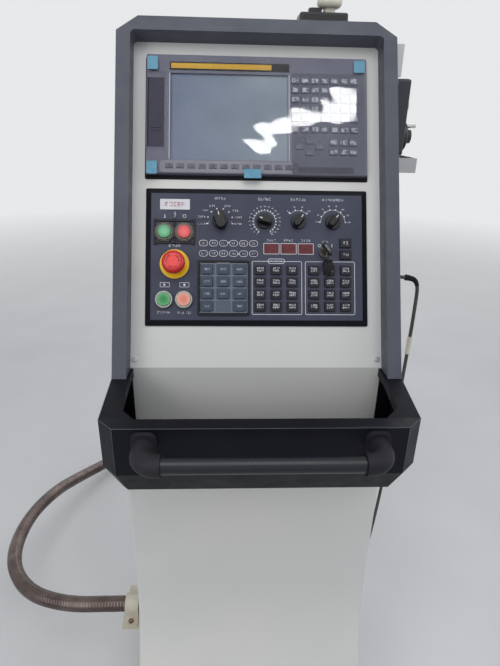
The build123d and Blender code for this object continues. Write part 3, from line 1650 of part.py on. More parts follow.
with BuildPart() as conduit_coil:
    with BuildSketch(Plane(origin=coil_centre, x_dir=(1, 0, 0), z_dir=(0, -1, 0))):
        with Locations((coil_radius, conduit_radius)):
            SlotCenterToCenter(2 * conduit_radius, 2 * conduit_radius, rotation=90)
    revolve(axis=Axis(coil_centre, (0, 0, 1)))
finish(conduit_coil, "conduit_coil")

# Fitting on the conduit's far end: hexagon and threaded end
fitting_plane = Plane(origin=tail_path @ 1, z_dir=tail_path % 1)
with BuildPart() as conduit_fitting:
    with BuildSketch(fitting_plane):
        RegularPolygon(fitting_nut_across / 2, 6, major_radius=False)
    extrude(amount=fitting_nut_length)
    with BuildSketch(fitting_plane.offset(fitting_nut_length)):
        Circle(fitting_thread_radius)
        Circle(fitting_thread_radius - column_wall, mode=Mode.SUBTRACT)
    extrude(amount=fitting_thread_length)
finish(conduit_fitting, "conduit_fitting")

# Screws that hold the front panel to the hood, low in the frame's opening
with BuildPart() as housing_screws:
    with BuildSketch(face_at(0, screw_up)):
        with GridLocations(2 * screw_across, 1, 2, 1):
            Circle(screw_head_radius)
    extrude(amount=screw_head_height)
    fillet(housing_screws.faces().filter_by(face_plane).edges(), screw_head_edge)
finish(housing_screws, "housing_screws")

print("lead radii", [round(radius) for radius in lead_radii], "length", round(lead_path.length))
print("conduit radii", [round(radius) for radius in conduit_radii + tail_radii])
conduit_turns = coil_turns * 2 * pi * coil_radius
print("conduit length", round(conduit_path.length + tail_path.length + conduit_turns))
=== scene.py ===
# %% [markdown]
# # Dressing an operator console
# The solid model of the console is already packed: every plate, key and knob sits in its place,
# in metres, with the floor at z = 0 and the front facing -Y. This lesson loads that model as a
# fixed frame and gives it its paint, print, film, cords, light and camera. Nothing that is loaded
# is moved. New pieces are made beside it, and each one is told which moving body it rides on.

# %% Load the solid model
from math import cos, pi, radians, sin

import bmesh
import bpy
from mathutils import Matrix, Vector, noise


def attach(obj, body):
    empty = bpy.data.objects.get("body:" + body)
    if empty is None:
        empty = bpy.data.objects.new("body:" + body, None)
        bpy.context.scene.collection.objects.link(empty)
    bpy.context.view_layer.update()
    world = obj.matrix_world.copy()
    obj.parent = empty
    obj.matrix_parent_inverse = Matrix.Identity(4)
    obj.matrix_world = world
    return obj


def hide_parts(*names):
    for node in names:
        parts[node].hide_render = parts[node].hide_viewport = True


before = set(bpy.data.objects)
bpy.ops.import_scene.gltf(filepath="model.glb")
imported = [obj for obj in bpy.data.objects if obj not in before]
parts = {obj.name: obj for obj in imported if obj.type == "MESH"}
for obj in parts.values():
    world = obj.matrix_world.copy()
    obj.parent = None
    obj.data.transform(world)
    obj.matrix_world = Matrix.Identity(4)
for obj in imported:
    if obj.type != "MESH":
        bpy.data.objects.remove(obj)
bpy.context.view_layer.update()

MM = 0.001


def in_scene(name, data):
    """An object made of some data and put into the scene."""
    made = bpy.data.objects.new(name, data)
    bpy.context.scene.collection.objects.link(made)
    return made


# %% [markdown]
# ## The camera
# The camera stands in front of the console, 1.3 m above the floor, and looks down at it.
# A camera matrix has the view's right, up and backward directions as its columns, so three
# directions and a place are all that it needs. Blender measures the lens against the longer
# side of the picture, and that is why the picture's 666 pixels appear in its focal length.

# %% Camera at the photograph's place
LENS_PIXELS, PICTURE_HEIGHT = 500, 666
camera_place = Vector((-50.3, -850.1, 1313.5)) * MM
gaze = Vector((0.0417, 0.9161, -0.3987)).normalized()
view_right = Vector((0.99913, -0.03728, 0.01886)).normalized()
view_up = view_right.cross(gaze).normalized()

camera_data = bpy.data.cameras.new("photograph_view")
camera_data.sensor_fit = "AUTO"
camera_data.sensor_width = 36
camera_data.lens = 36 * LENS_PIXELS / PICTURE_HEIGHT
camera_data.clip_start = 0.05
camera = in_scene("photograph_view", camera_data)
view_axes = Matrix((view_right, view_up, -gaze)).transposed().to_4x4()
camera.matrix_world = Matrix.Translation(camera_place) @ view_axes
bpy.context.scene.camera = camera
print("lens:", round(camera_data.lens, 3), "mm")

# %% [markdown]
# ## Seats for the small pieces
# Most details lie on a flat place: the leaning control face, the column's front or the right-hand
# side. A seat is a matrix that turns flat drawing coordinates (across, up, out) into the model's
# own. With it, a ring or a dial is drawn flat, as on paper, and then set down where it belongs.

# %% Seats as matrices
LEAN = radians(26)
FOLD_BACK, FOLD_HEIGHT = -55.139, 900


def seat(origin, across, up):
    """A matrix whose x and y are the drawing's directions and whose z stands out of the paper."""
    across, up = Vector(across), Vector(up)
    axes = Matrix((across, up, across.cross(up))).transposed().to_4x4()
    return Matrix.Translation(Vector(origin) * MM) @ axes


FACE = seat((0, FOLD_BACK, FOLD_HEIGHT), (1, 0, 0), (0, sin(LEAN), cos(LEAN)))
FRONT = seat((0, -65.14, 0), (1, 0, 0), (0, 0, 1))
RIGHT = seat((250, 0, 0), (0, 1, 0), (0, 0, 1))
UPRIGHT = Matrix.Identity(4)


def out_of(seat_matrix, name):
    """How far the front of a solid piece stands out of a seat, in millimetres."""
    flat = seat_matrix.inverted()
    return max((flat @ vertex.co).z for vertex in parts[name].data.vertices) / MM


print("fronts:", {name: round(out_of(FACE, name), 2) for name in (
    "operator_panel", "screen_bezel", "lcd_panel", "screen_keys", "keypad_keys", "estop_head")})

# %% [markdown]
# ## Drawing with outlines
# Printed rings, plates and labels are thin plates over an outline. An outline is a list of points,
# anticlockwise, and a few small helpers are enough to draw nearly everything on the panels:
# a rounded box, a plate with a broken edge, a band between two outlines, a line and an arc.

# %% Outlines and plates


def rounded(width, height, corner, across=0.0, up=0.0, steps=4):
    """The outline of a box with round corners; a corner of half the height makes an oval."""
    points = []
    for turn, (side, level) in enumerate(((1, 1), (-1, 1), (-1, -1), (1, -1))):
        for step in range(steps + 1):
            angle = radians(90 * (turn + step / steps))
            points.append((across + side * (width / 2 - corner) + corner * cos(angle),
                           up + level * (height / 2 - corner) + corner * sin(angle)))
    return points


def drawn_in(outline, amount):
    """The same outline with every point moved inwards."""
    moved = []
    for before, here, after in zip(outline[-1:] + outline[:-1], outline, outline[1:] + outline[:1]):
        way = Vector((after[0] - before[0], after[1] - before[1])).normalized()
        moved.append((here[0] - way.y * amount, here[1] + way.x * amount))
    return moved


def ring_of(shape, outline, height):
    """Adds an outline's points to a shape at one height."""
    return [shape.verts.new((x * MM, y * MM, height * MM)) for x, y in outline]


def skin(shape, lower, upper):
    """Faces between two rings of the same number of points."""
    for first in range(len(lower)):
        second = (first + 1) % len(lower)
        shape.faces.new((lower[first], lower[second], upper[second], upper[first]))


def stack(shape, rings):
    """Joins rings one after another and closes the last and the first."""
    for lower, upper in zip(rings, rings[1:]):
        skin(shape, lower, upper)
    shape.faces.new(rings[-1])
    shape.faces.new(rings[0][::-1])


def hoop(shape, rings):
    """Joins rings one after another and the last to the first."""
    for lower, upper in zip(rings, rings[1:] + rings[:1]):
        skin(shape, lower, upper)


def plate(shape, outline, low, high, edge=0.0):
    """A closed plate over an outline, its upper edge broken where an edge size is given."""
    rings = [ring_of(shape, outline, low), ring_of(shape, outline, high - edge)]
    if edge:
        rings.append(ring_of(shape, drawn_in(outline, edge), high))
    stack(shape, rings)


def band(shape, outline, width, low, high):
    """A flat ring that follows an outline on its inner side."""
    inner = drawn_in(outline, width)
    corners = ((outline, low), (outline, high), (inner, high), (inner, low))
    hoop(shape, [ring_of(shape, line, height) for line, height in corners])


def stroke(shape, start, end, width, low, high):
    """A straight printed line."""
    way = Vector((end[0] - start[0], end[1] - start[1])).normalized() * (width / 2)
    corners = [(start[0] + way.y, start[1] - way.x), (end[0] + way.y, end[1] - way.x),
               (end[0] - way.y, end[1] + way.x), (start[0] - way.y, start[1] + way.x)]
    plate(shape, corners, low, high)


def sweep(shape, centre, radius, width, first, last, low, high, steps=24):
    """A printed arc; its angles are in degrees, clockwise from straight up."""
    outer, inner = [], []
    for step in range(steps + 1):
        angle = radians(first + (last - first) * step / steps)
        for side, reach in ((outer, radius + width / 2), (inner, radius - width / 2)):
            side.append((centre[0] + reach * sin(angle), centre[1] + reach * cos(angle)))
    for index in range(steps):
        plate(shape, [inner[index], inner[index + 1], outer[index + 1], outer[index]], low, high)


def settle(name, shape, finish, body="console", on=FACE, smooth=False):
    """Turns a drawn shape into a piece: set on its seat, painted, and riding on a body."""
    mesh = bpy.data.meshes.new(name)
    bmesh.ops.recalc_face_normals(shape, faces=shape.faces)
    shape.to_mesh(mesh)
    shape.free()
    mesh.transform(on)
    mesh.materials.append(finish)
    if smooth:
        mesh.shade_smooth()
    piece = in_scene(name, mesh)
    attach(piece, body)
    print("made", name, "with", len(mesh.polygons), "faces, on", body)
    return piece


def plates(name, rows, finish, on=FACE, steps=2):
    """A piece of flat plates; a row is width, height, corner, across, up, low, high and edge."""
    shape = bmesh.new()
    for width, height, corner, across, up, low, high, edge in rows:
        plate(shape, rounded(width, height, corner, across, up, steps), low, high, edge)
    return settle(name, shape, finish, on=on)


# %% [markdown]
# ## Finishes
# A finish is a small network of nodes. They all share one idea: the base colour is never quite
# even, the surface is never quite flat, and the shine changes a little from place to place.
# Object coordinates are in metres here, so a noise scale of 700 gives grains near 1.5 mm, and
# the pattern stays fixed to the real size of the piece.

# %% Helpers for finishes


def tint(red, green, blue):
    """A colour as it is seen on a screen, 0 to 255, as the linear values that nodes want."""
    parts_of_light = []
    for value in (red, green, blue):
        value /= 255
        parts_of_light.append(value / 12.92 if value <= 0.04045 else ((value + 0.055) / 1.055) ** 2.4)
    return (*parts_of_light, 1.0)


class Amount:
    """A number on its way through a tree; a sum with it adds a Math node there."""

    def __init__(self, socket):
        self.socket = socket

    def step(self, operation, first, second=0.0):
        return Amount(sums(self.socket.id_data, operation, first, second))

    def of(self, operation):
        return self.step(operation, self)

    def __add__(self, other):
        return self.step("ADD", self, other)

    def __sub__(self, other):
        return self.step("SUBTRACT", self, other)

    def __rsub__(self, other):
        return self.step("SUBTRACT", other, self)

    def __mul__(self, other):
        return self.step("MULTIPLY", self, other)

    def __truediv__(self, other):
        return self.step("DIVIDE", self, other)


def node(tree, kind, feeds=None, **settings):
    """Adds a node, sets its options and fills or links its inputs."""
    made = tree.nodes.new(kind)
    for option, value in settings.items():
        setattr(made, option, value)
    for socket, value in (feeds or {}).items():
        target = made.inputs[socket]
        value = value.socket if isinstance(value, Amount) else value
        if isinstance(value, bpy.types.NodeSocket):
            tree.links.new(value, target)
        else:
            target.default_value = value
    return made


def cloud(tree, scale, detail=2.0, stretch=(1, 1, 1), distortion=0.0):
    """Noise between 0 and 1 over the object's own metres, stretched where asked."""
    place = node(tree, "ShaderNodeTexCoord").outputs["Object"]
    fitted = node(tree, "ShaderNodeMapping", {"Vector": place, "Scale": stretch}).outputs["Vector"]
    return node(tree, "ShaderNodeTexNoise", {"Vector": fitted, "Scale": scale, "Detail": detail,
                                             "Distortion": distortion}).outputs["Fac"]


def levels(tree, value, low, high, to_low=0.0, to_high=1.0):
    """Stretches a range of values to another one, and holds it there."""
    return node(tree, "ShaderNodeMapRange", {"Value": value, "From Min": low, "From Max": high,
                                             "To Min": to_low, "To Max": to_high}).outputs["Result"]


def mix_colours(tree, share, first, second, way="MIX"):
    """A colour between two, by a share from 0 to 1."""
    made = node(tree, "ShaderNodeMix", data_type="RGBA", blend_type=way)
    for index, value in ((0, share), (6, first), (7, second)):
        if isinstance(value, bpy.types.NodeSocket):
            tree.links.new(value, made.inputs[index])
        else:
            made.inputs[index].default_value = value
    return made.outputs[2]


def sums(tree, operation, first, second=0.0):
    """One step of arithmetic, in a material or in a geometry tree."""
    return node(tree, "ShaderNodeMath", {0: first, 1: second}, operation=operation).outputs[0]


def own_place(tree):
    """The point's X, Y and Z on the console, in metres."""
    place = node(tree, "ShaderNodeTexCoord").outputs["Object"]
    return node(tree, "ShaderNodeSeparateXYZ", {"Vector": place}).outputs


def lay_over(tree, shader, share, colour):
    """Puts one more colour over a shader's base colour, by a share."""
    base = shader.inputs["Base Color"]
    tree.links.new(mix_colours(tree, share, base.links[0].from_socket, colour), base)


def new_finish(name, **constants):
    """A material, its tree and its shader, with the given constants on the shader itself."""
    material = bpy.data.materials.new(name)
    material.use_nodes = True
    shader = material.node_tree.nodes["Principled BSDF"]
    for words, value in constants.items():
        shader.inputs[words.replace("_", " ")].default_value = value
    return material, material.node_tree, shader


def surface(name, colour, second, roughness, tone_scale=6.0, grain_scale=700.0, grain_depth=0.02,
            gloss_change=0.06, **constants):
    """A plain painted or moulded surface: two close colours, a fine grain and an uneven gloss."""
    material, tree, shader = new_finish(name, **constants)
    drift = levels(tree, cloud(tree, tone_scale, 3.0), 0.35, 0.65)
    tree.links.new(mix_colours(tree, drift, colour, second), shader.inputs["Base Color"])
    gloss = levels(tree, cloud(tree, tone_scale * 5, 2.0), 0.3, 0.7, roughness - gloss_change,
                   roughness + gloss_change)
    tree.links.new(gloss, shader.inputs["Roughness"])
    bump = node(tree, "ShaderNodeBump", {"Height": cloud(tree, grain_scale, 2.0), "Strength": 0.6,
                                         "Distance": grain_depth * MM})
    tree.links.new(bump.outputs["Normal"], shader.inputs["Normal"])
    return material, tree, shader


# %% [markdown]
# ## White paint on sheet steel
# The column, the hood and the face are powder-coated sheet. The coat is slightly wavy, which
# shows in soft reflections, and it gathers grey dust near the floor. The dust is a second colour
# whose share falls with height, broken up by a noise so that its edge isn't a line.

# %% White paint
white_paint, tree, shader = surface("white_paint", tint(214, 214, 210), tint(208, 209, 208), 0.42,
                                    tone_scale=2.5, grain_scale=420, grain_depth=0.03)
near_floor = levels(tree, own_place(tree)["Z"], 0.0, 0.22, 1.0, 0.0)
patchy = levels(tree, cloud(tree, 14, 4.0), 0.35, 0.75, 0.0, 0.55)
lay_over(tree, shader, sums(tree, "MULTIPLY", near_floor, patchy), tint(150, 146, 136))
print("white paint:", len(tree.nodes), "nodes")

# %% [markdown]
# ## Black paint, black plastic and rubber
# The frame and the tray are bent sheet in black paint with a fine texture. Textured paint spreads
# its reflection, so the frame looks blue-grey where it faces the light and nearly black where it
# faces the floor. The frame's colour is also painted lighter and bluer than the tray's. This is a
# painted reflection of the bright ceiling on what is the same black paint. Scratches come from a
# noise that is stretched forty to one.

# %% Black finishes


def black_coat(name, colour, second, roughness, texture, **constants):
    """Textured black paint with a few fine scratches that show the lighter primer."""
    material, tree, shader = surface(name, colour, second, roughness, tone_scale=9, grain_scale=900,
                                     grain_depth=texture, **constants)
    scratch = levels(tree, cloud(tree, 9, 3.0, stretch=(1, 40, 2), distortion=0.4), 0.70, 0.74, 0.0, 0.25)
    lay_over(tree, shader, scratch, tint(120, 122, 126))
    return material


# The frame's blue-grey colour is a painted reflection of the ceiling; the tray keeps the paint's own black.
frame_paint_painted_reflection = black_coat("frame_paint_painted_reflection", tint(80, 84, 95), tint(70, 74, 86), 0.44, 0.035,
                         Specular_IOR_Level=0.35)
tray_paint = black_coat("tray_paint", tint(17, 18, 26), tint(12, 13, 21), 0.45, 0.03,
                        Specular_IOR_Level=0.16)
handle_paint = surface("handle_paint", tint(26, 28, 36), tint(22, 24, 31), 0.3, grain_scale=1500,
                       grain_depth=0.01, Specular_IOR_Level=0.4)[0]
bracket_plastic = surface("bracket_plastic", tint(40, 39, 44), tint(31, 31, 37), 0.55, grain_scale=1100,
                          grain_depth=0.03, Specular_IOR_Level=0.2)[0]
knob_plastic = surface("knob_plastic", tint(14, 14, 19), tint(10, 10, 14), 0.3, grain_scale=1600,
                       grain_depth=0.006, Specular_IOR_Level=0.3)[0]
seal_rubber = surface("seal_rubber", tint(24, 24, 28), tint(18, 18, 21), 0.75, grain_scale=1300,
                      grain_depth=0.03, Specular_IOR_Level=0.2)[0]
tower_black_plastic = surface("tower_black_plastic", tint(34, 34, 36), tint(28, 28, 31), 0.45)[0]
lead_rubber = surface("lead_rubber", tint(72, 70, 66), tint(58, 57, 55), 0.58, tone_scale=25,
                      grain_scale=1200)[0]
print("finishes so far:", len(bpy.data.materials))

# %% [markdown]
# ## Plastics of the screen unit and its keys
# The bezel is a moulded plastic that looks purple-grey under its clear film. The screen itself is
# matt grey-blue with finger smears: a broad cloud for the smears, and a second cloud stretched
# upwards for the fine streaks that wiping leaves. The screen is also painted paler to the right and
# darker blue to the left, a painted reflection of the glare that lies across it.

# %% Screen finishes
bezel_plastic = surface("bezel_plastic", tint(104, 105, 120), tint(91, 92, 108), 0.45, tone_scale=8,
                        grain_scale=1200, Specular_IOR_Level=0.3)[0]
key_field_plastic = surface("key_field_plastic", tint(84, 87, 104), tint(74, 77, 94), 0.42, tone_scale=10,
                            Specular_IOR_Level=0.3)[0]
screen_key_plastic = surface("screen_key_plastic", tint(98, 100, 116), tint(88, 90, 107), 0.4,
                             tone_scale=20, Specular_IOR_Level=0.3)[0]
soft_strip_plastic = surface("soft_strip_plastic", tint(136, 134, 144), tint(126, 124, 135), 0.42,
                             tone_scale=12, Specular_IOR_Level=0.3)[0]
card_door_plastic = surface("card_door_plastic", tint(40, 38, 58), tint(34, 33, 52), 0.4,
                            tone_scale=15, Specular_IOR_Level=0.3)[0]

lcd_glass, tree, shader = surface("lcd_glass", tint(140, 152, 160), tint(122, 135, 146), 0.4, tone_scale=14,
                                  grain_scale=900, grain_depth=0.0004, Specular_IOR_Level=0.3)
# Painted reflection: the screen turns darker blue towards the left, away from the glare on its right.
painted_reflection_share = levels(tree, own_place(tree)["X"], -0.16, 0.02, 0.85, 0.0)
streaks = levels(tree, cloud(tree, 30, 3.0, stretch=(9, 1, 1)), 0.4, 0.7, 0.0, 0.35)
smears = levels(tree, cloud(tree, 26, 4.0, distortion=1.2), 0.55, 0.7, 0.0, 0.4)
for share, colour in ((painted_reflection_share, tint(88, 104, 136)), (streaks, tint(120, 128, 142)),
                      (smears, tint(110, 120, 128))):
    lay_over(tree, shader, share, colour)
print("screen glass:", len(tree.nodes), "nodes")

# %% [markdown]
# ## The operator panel's slate
# The panel is dark slate with a black border. The border isn't a second piece: the nodes work
# out how far a point is from the panel's middle, across and up the leaning face, and switch
# colour there. A Mapping node of the Texture kind undoes the lean, so that the sums are done in
# the panel's own flat coordinates.

# %% Slate panel and keypad frame


def flat_place(tree):
    """The point's across and up on the leaning face, in metres."""
    object_place = node(tree, "ShaderNodeTexCoord").outputs["Object"]
    flat = node(tree, "ShaderNodeMapping", {
        "Vector": object_place, "Location": (0, FOLD_BACK * MM, FOLD_HEIGHT * MM),
        "Rotation": (pi / 2 - LEAN, 0, 0)}, vector_type="TEXTURE")
    return node(tree, "ShaderNodeSeparateXYZ", {"Vector": flat.outputs["Vector"]}).outputs


def from_middle(tree, centre):
    """How far a point on the leaning face is from a centre, across and up."""
    flat = flat_place(tree)
    return [sums(tree, "SUBTRACT", flat[way], middle * MM) for way, middle in zip("XY", centre)]


def outside_box(tree, centre, size):
    """1 outside a box on the leaning face and 0 inside it; sizes in millimetres."""
    beyond = [sums(tree, "SUBTRACT", sums(tree, "ABSOLUTE", distance), whole_size / 2 * MM)
              for distance, whole_size in zip(from_middle(tree, centre), size)]
    return sums(tree, "GREATER_THAN", sums(tree, "MAXIMUM", *beyond), 0.0)


slate_panel, tree, shader = surface("slate_panel", tint(71, 74, 90), tint(62, 65, 82), 0.46, tone_scale=5,
                                    grain_scale=1500, grain_depth=0.015, Specular_IOR_Level=0.2)
lay_over(tree, shader, outside_box(tree, (0, 198), (380, 228)), tint(24, 25, 31))

keypad_shell, tree, shader = surface("keypad_shell", tint(88, 99, 113), tint(80, 91, 106), 0.45, tone_scale=9,
                                     Specular_IOR_Level=0.25)
lay_over(tree, shader, outside_box(tree, (-60.4, 141.7), (82, 88)), tint(17, 18, 24))

keypad_caps, tree, shader = surface("keypad_caps", tint(31, 30, 42), tint(24, 24, 34), 0.4, tone_scale=25,
                                    grain_scale=1300, Specular_IOR_Level=0.25)
lay_over(tree, shader, sums(tree, "LESS_THAN", flat_place(tree)["X"], -0.012), tint(64, 74, 90))
print("panel finishes:", slate_panel.name, keypad_shell.name, keypad_caps.name)

# %% [markdown]
# ## Button caps, lamps and windows
# Push-button caps are translucent plastic, and light that enters them makes them glow a little.
# That glow is painted: a second colour fills each cap's middle and fades towards the rim, and on
# the domed emergency head it is also a painted highlight. A coat over the colour adds the real
# shine at any angle. The emergency head takes the same finish over a wider circle.

# %% Caps, lamps and windows
BUTTONS_ACROSS = (-165.5, -130.5)
POWER_ROW, CYCLE_ROW = 240.8, 120.4
HEAD_CENTRE = (-147.5, 184)


def cap_plastic(name, colour, middle, centre, radius=11.0, roughness=0.3):
    """A translucent cap: a painted glow in the second colour fills the middle and fades towards the rim."""
    material, tree, shader = surface(name, colour, colour, roughness, grain_scale=1500, grain_depth=0.01,
                                     Coat_Weight=0.3, Coat_Roughness=0.15)
    squares = [sums(tree, "POWER", distance, 2.0) for distance in from_middle(tree, centre)]
    reach = sums(tree, "SQRT", sums(tree, "ADD", *squares))
    # The middle's second colour is painted glow of light in the cap, and a painted highlight on the domed
    # head.
    glow = levels(tree, reach, radius * 0.35 * MM, radius * MM, 1.0, 0.0)
    tree.links.new(mix_colours(tree, glow, colour, middle), shader.inputs["Base Color"])
    return material


left_button, right_button = BUTTONS_ACROSS
power_green = cap_plastic("power_green", tint(58, 140, 92), tint(104, 186, 136), (left_button, POWER_ROW))
power_red = cap_plastic("power_red", tint(190, 44, 50), tint(236, 84, 86), (right_button, POWER_ROW))
start_green = cap_plastic("start_green", tint(96, 168, 118), tint(30, 138, 66), (left_button, CYCLE_ROW))
stop_salmon = cap_plastic("stop_salmon", tint(226, 168, 150), tint(226, 128, 112),
                          (right_button, CYCLE_ROW))
estop_red = cap_plastic("estop_red", tint(204, 26, 30), tint(238, 62, 60), HEAD_CENTRE, 20, 0.36)
collar_yellow = surface("collar_yellow", tint(248, 203, 22), tint(240, 190, 18), 0.35, tone_scale=30)[0]
plunger_plastic = surface("plunger_plastic", tint(120, 120, 120), tint(108, 108, 110), 0.4)[0]
lamp_plastic = surface("lamp_plastic", tint(66, 66, 84), tint(58, 58, 77), 0.35, tone_scale=60,
                       Specular_IOR_Level=0.25)[0]
window_filter = surface("window_filter", tint(104, 36, 42), tint(84, 30, 38), 0.3, tone_scale=120,
                        grain_depth=0.004, Specular_IOR_Level=0.25)[0]
print("caps:", [cap.name for cap in (power_green, power_red, start_green, stop_salmon, estop_red)])

# %% [markdown]
# ## Metals
# Plated rings, keys and screws are steel under zinc or nickel. Metallic is set to 1 and the colour
# is the metal's own, so all of their look comes from what they mirror. Old clamp screws have rust
# in patches: the same cloud that colours a patch brown also makes it rough and not metallic.

# %% Metals


def plated(name, colour, roughness, brushed=(1, 1, 1), rust=0.0):
    """Bare or plated metal; rust is the share of it that has gone brown."""
    material, tree, shader = new_finish(name)
    fine = cloud(tree, 260, 3.0, stretch=brushed)
    tone = mix_colours(tree, levels(tree, fine, 0.3, 0.7, 0.0, 0.35), colour, tint(120, 121, 124))
    patches = levels(tree, cloud(tree, 160, 5.0), 0.72 - rust, 0.80 - rust, 0.0, 1.0)
    browned = mix_colours(tree, patches, tone, tint(112, 78, 52))
    tree.links.new(browned, shader.inputs["Base Color"])
    tree.links.new(levels(tree, patches, 0.0, 1.0, 1.0, 0.1), shader.inputs["Metallic"])
    tree.links.new(levels(tree, patches, 0.0, 1.0, roughness, 0.8), shader.inputs["Roughness"])
    bump = node(tree, "ShaderNodeBump", {"Height": fine, "Strength": 0.4, "Distance": 0.02 * MM})
    tree.links.new(bump.outputs["Normal"], shader.inputs["Normal"])
    return material


zinc_plate = plated("zinc_plate", tint(196, 198, 200), 0.35)
bright_steel = plated("bright_steel", tint(208, 208, 206), 0.22, brushed=(1, 1, 8))
key_nickel = plated("key_nickel", tint(84, 82, 82), 0.26, brushed=(1, 1, 8))
rusty_steel = plated("rusty_steel", tint(150, 140, 128), 0.5, rust=0.28)
ring_plating, tree, shader = new_finish("ring_plating", Metallic=0.75, Roughness=0.32)
upper_pair = levels(tree, own_place(tree)["Z"], 1.06, 1.065)
tree.links.new(mix_colours(tree, upper_pair, tint(158, 156, 150), tint(86, 82, 77)),
               shader.inputs["Base Color"])
clamp_paint = surface("clamp_paint", tint(206, 200, 184), tint(190, 182, 164), 0.5, tone_scale=20,
                      grain_scale=600)[0]
gland_plastic = surface("gland_plastic", tint(208, 206, 194), tint(192, 190, 178), 0.45, tone_scale=30)[0]
housing_plate = surface("housing_plate", tint(182, 184, 186), tint(170, 172, 175), 0.38, Metallic=0.6)[0]
board_plastic = surface("board_plastic", tint(62, 68, 66), tint(52, 58, 57), 0.5, tone_scale=18)[0]
terminal_plastic = surface("terminal_plastic", tint(160, 164, 166), tint(148, 152, 155), 0.5,
                           tone_scale=30)[0]
pendant_plastic, tree, shader = surface("pendant_plastic", tint(128, 134, 148), tint(116, 123, 138), 0.5,
                                        tone_scale=15)
front_shell = sums(tree, "GREATER_THAN", own_place(tree)["X"], 0.272)
lay_over(tree, shader, front_shell, tint(48, 50, 57))
wheel_plastic = surface("wheel_plastic", tint(34, 34, 38), tint(26, 26, 30), 0.35, tone_scale=30,
                        Coat_Weight=0.2)[0]
sleeve_plastic = surface("sleeve_plastic", tint(216, 212, 198), tint(204, 198, 182), 0.45, tone_scale=60)[0]
tower_white_paint = surface("tower_white_paint", tint(226, 222, 206), tint(214, 209, 192), 0.4)[0]
print("finishes so far:", len(bpy.data.materials))

# %% [markdown]
# ## The signal tower's lenses
# Three plastic lenses stand on each other: red above, amber in the middle, green below. They are
# one solid, so the colour is chosen by height. Fine vertical flutes inside a real lens spread its
# light, and a bump that follows the angle round the pole gives them here. Pale stripes mixed into
# the colour along the same flutes are painted highlights.

# %% Lens finish
tower_lens, tree, shader = new_finish("tower_lens", Roughness=0.22, Coat_Weight=0.6, Coat_Roughness=0.1)
AMBER_FROM, RED_FROM = 1.598, 1.646
POLE_ACROSS, POLE_BACK = 0.144, 0.295
place = own_place(tree)
amber_up = sums(tree, "GREATER_THAN", place["Z"], AMBER_FROM)
red_up = sums(tree, "GREATER_THAN", place["Z"], RED_FROM)
colour = mix_colours(tree, amber_up, tint(44, 142, 84), tint(224, 158, 40))
colour = mix_colours(tree, red_up, colour, tint(196, 40, 38))
angle = sums(tree, "ARCTAN2", sums(tree, "SUBTRACT", place["X"], POLE_ACROSS),
             sums(tree, "SUBTRACT", place["Y"], POLE_BACK))
flutes = sums(tree, "SINE", sums(tree, "MULTIPLY", angle, 60.0))
# Pale stripes along the flutes: painted highlights.
painted_flute_highlight = levels(tree, flutes, -1.0, 1.0, 0.0, 0.25)
tree.links.new(mix_colours(tree, painted_flute_highlight, colour, tint(236, 226, 206)), shader.inputs["Base Color"])
bump = node(tree, "ShaderNodeBump", {"Height": flutes, "Strength": 0.5, "Distance": 0.2 * MM})
tree.links.new(bump.outputs["Normal"], shader.inputs["Normal"])
print("tower lenses:", len(tree.nodes), "nodes")

# %% [markdown]
# ## Painting the solids
# A solid from the frame keeps its mesh, and only its material slots are filled. One table says
# which finish goes on which piece, so that nothing is left bare.

# %% Give every solid its finish
paint_list = [
    (white_paint, "pedestal_shell hood_shell front_panel rear_door"),
    (frame_paint_painted_reflection, "face_frame"),
    (tray_paint, "storage_tray"),
    (handle_paint, "handle_tube"),
    (bracket_plastic, "handle_brackets"),
    (bezel_plastic, "screen_bezel"),
    (card_door_plastic, "card_door"),
    (lcd_glass, "lcd_panel"),
    (screen_key_plastic, "screen_keys"),
    (slate_panel, "operator_panel"),
    (ring_plating, "switch_bodies"),
    (power_green, "power_on_button"),
    (power_red, "power_off_button"),
    (start_green, "start_button"),
    (stop_salmon, "stop_button"),
    (collar_yellow, "estop_collar"),
    (plunger_plastic, "estop_plunger"),
    (estop_red, "estop_head"),
    (knob_plastic, "mode_knob feed_knob rapid_knob spindle_knob"),
    (lamp_plastic, "indicator_lamps"),
    (window_filter, "display_windows"),
    (key_nickel, "switch_key spare_key"),
    (keypad_shell, "keypad_frame"),
    (keypad_caps, "keypad_keys f_key_1 f_key_2"),
    (housing_plate, "control_unit"),
    (board_plastic, "io_module"),
    (zinc_plate, "din_rail rear_door_hinges housing_screws"),
    (terminal_plastic, "terminal_blocks"),
    (tower_white_paint, "tower_pole tower_base"),
    (tower_black_plastic, "tower_foot tower_cap door_latch"),
    (tower_lens, "tower_lenses"),
    (pendant_plastic, "pendant_body"),
    (zinc_plate, "pendant_holder"),
    (wheel_plastic, "hand_wheel axis_knob"),
    (bright_steel, "wheel_crank"),
    (sleeve_plastic, "scale_knob"),
    (gland_plastic, "cable_gland"),
    (lead_rubber, "pendant_lead lead_sleeves"),
    (clamp_paint, "conduit_bracket saddle_clamp"),
    (rusty_steel, "clamp_screws"),
    (lead_rubber, "conduit conduit_coil"),
    (zinc_plate, "conduit_fitting"),
]
painted = set()
for finish, names in paint_list:
    for name in names.split():
        for place in parts[name].material_slots:
            place.material = finish
        painted.add(name)
print("still bare:", sorted(set(parts) - painted))

# %% [markdown]
# ## The floor and the studio
# The floor is a wide pale disc. Close to the console it is an ordinary matt surface that takes
# the shadow; far away it fades into the colour of the background, so that no horizon shows. The
# background is pale only for rays that come from the camera or from a mirror, and the light on
# the object comes from a dimmer world and four soft lamps.

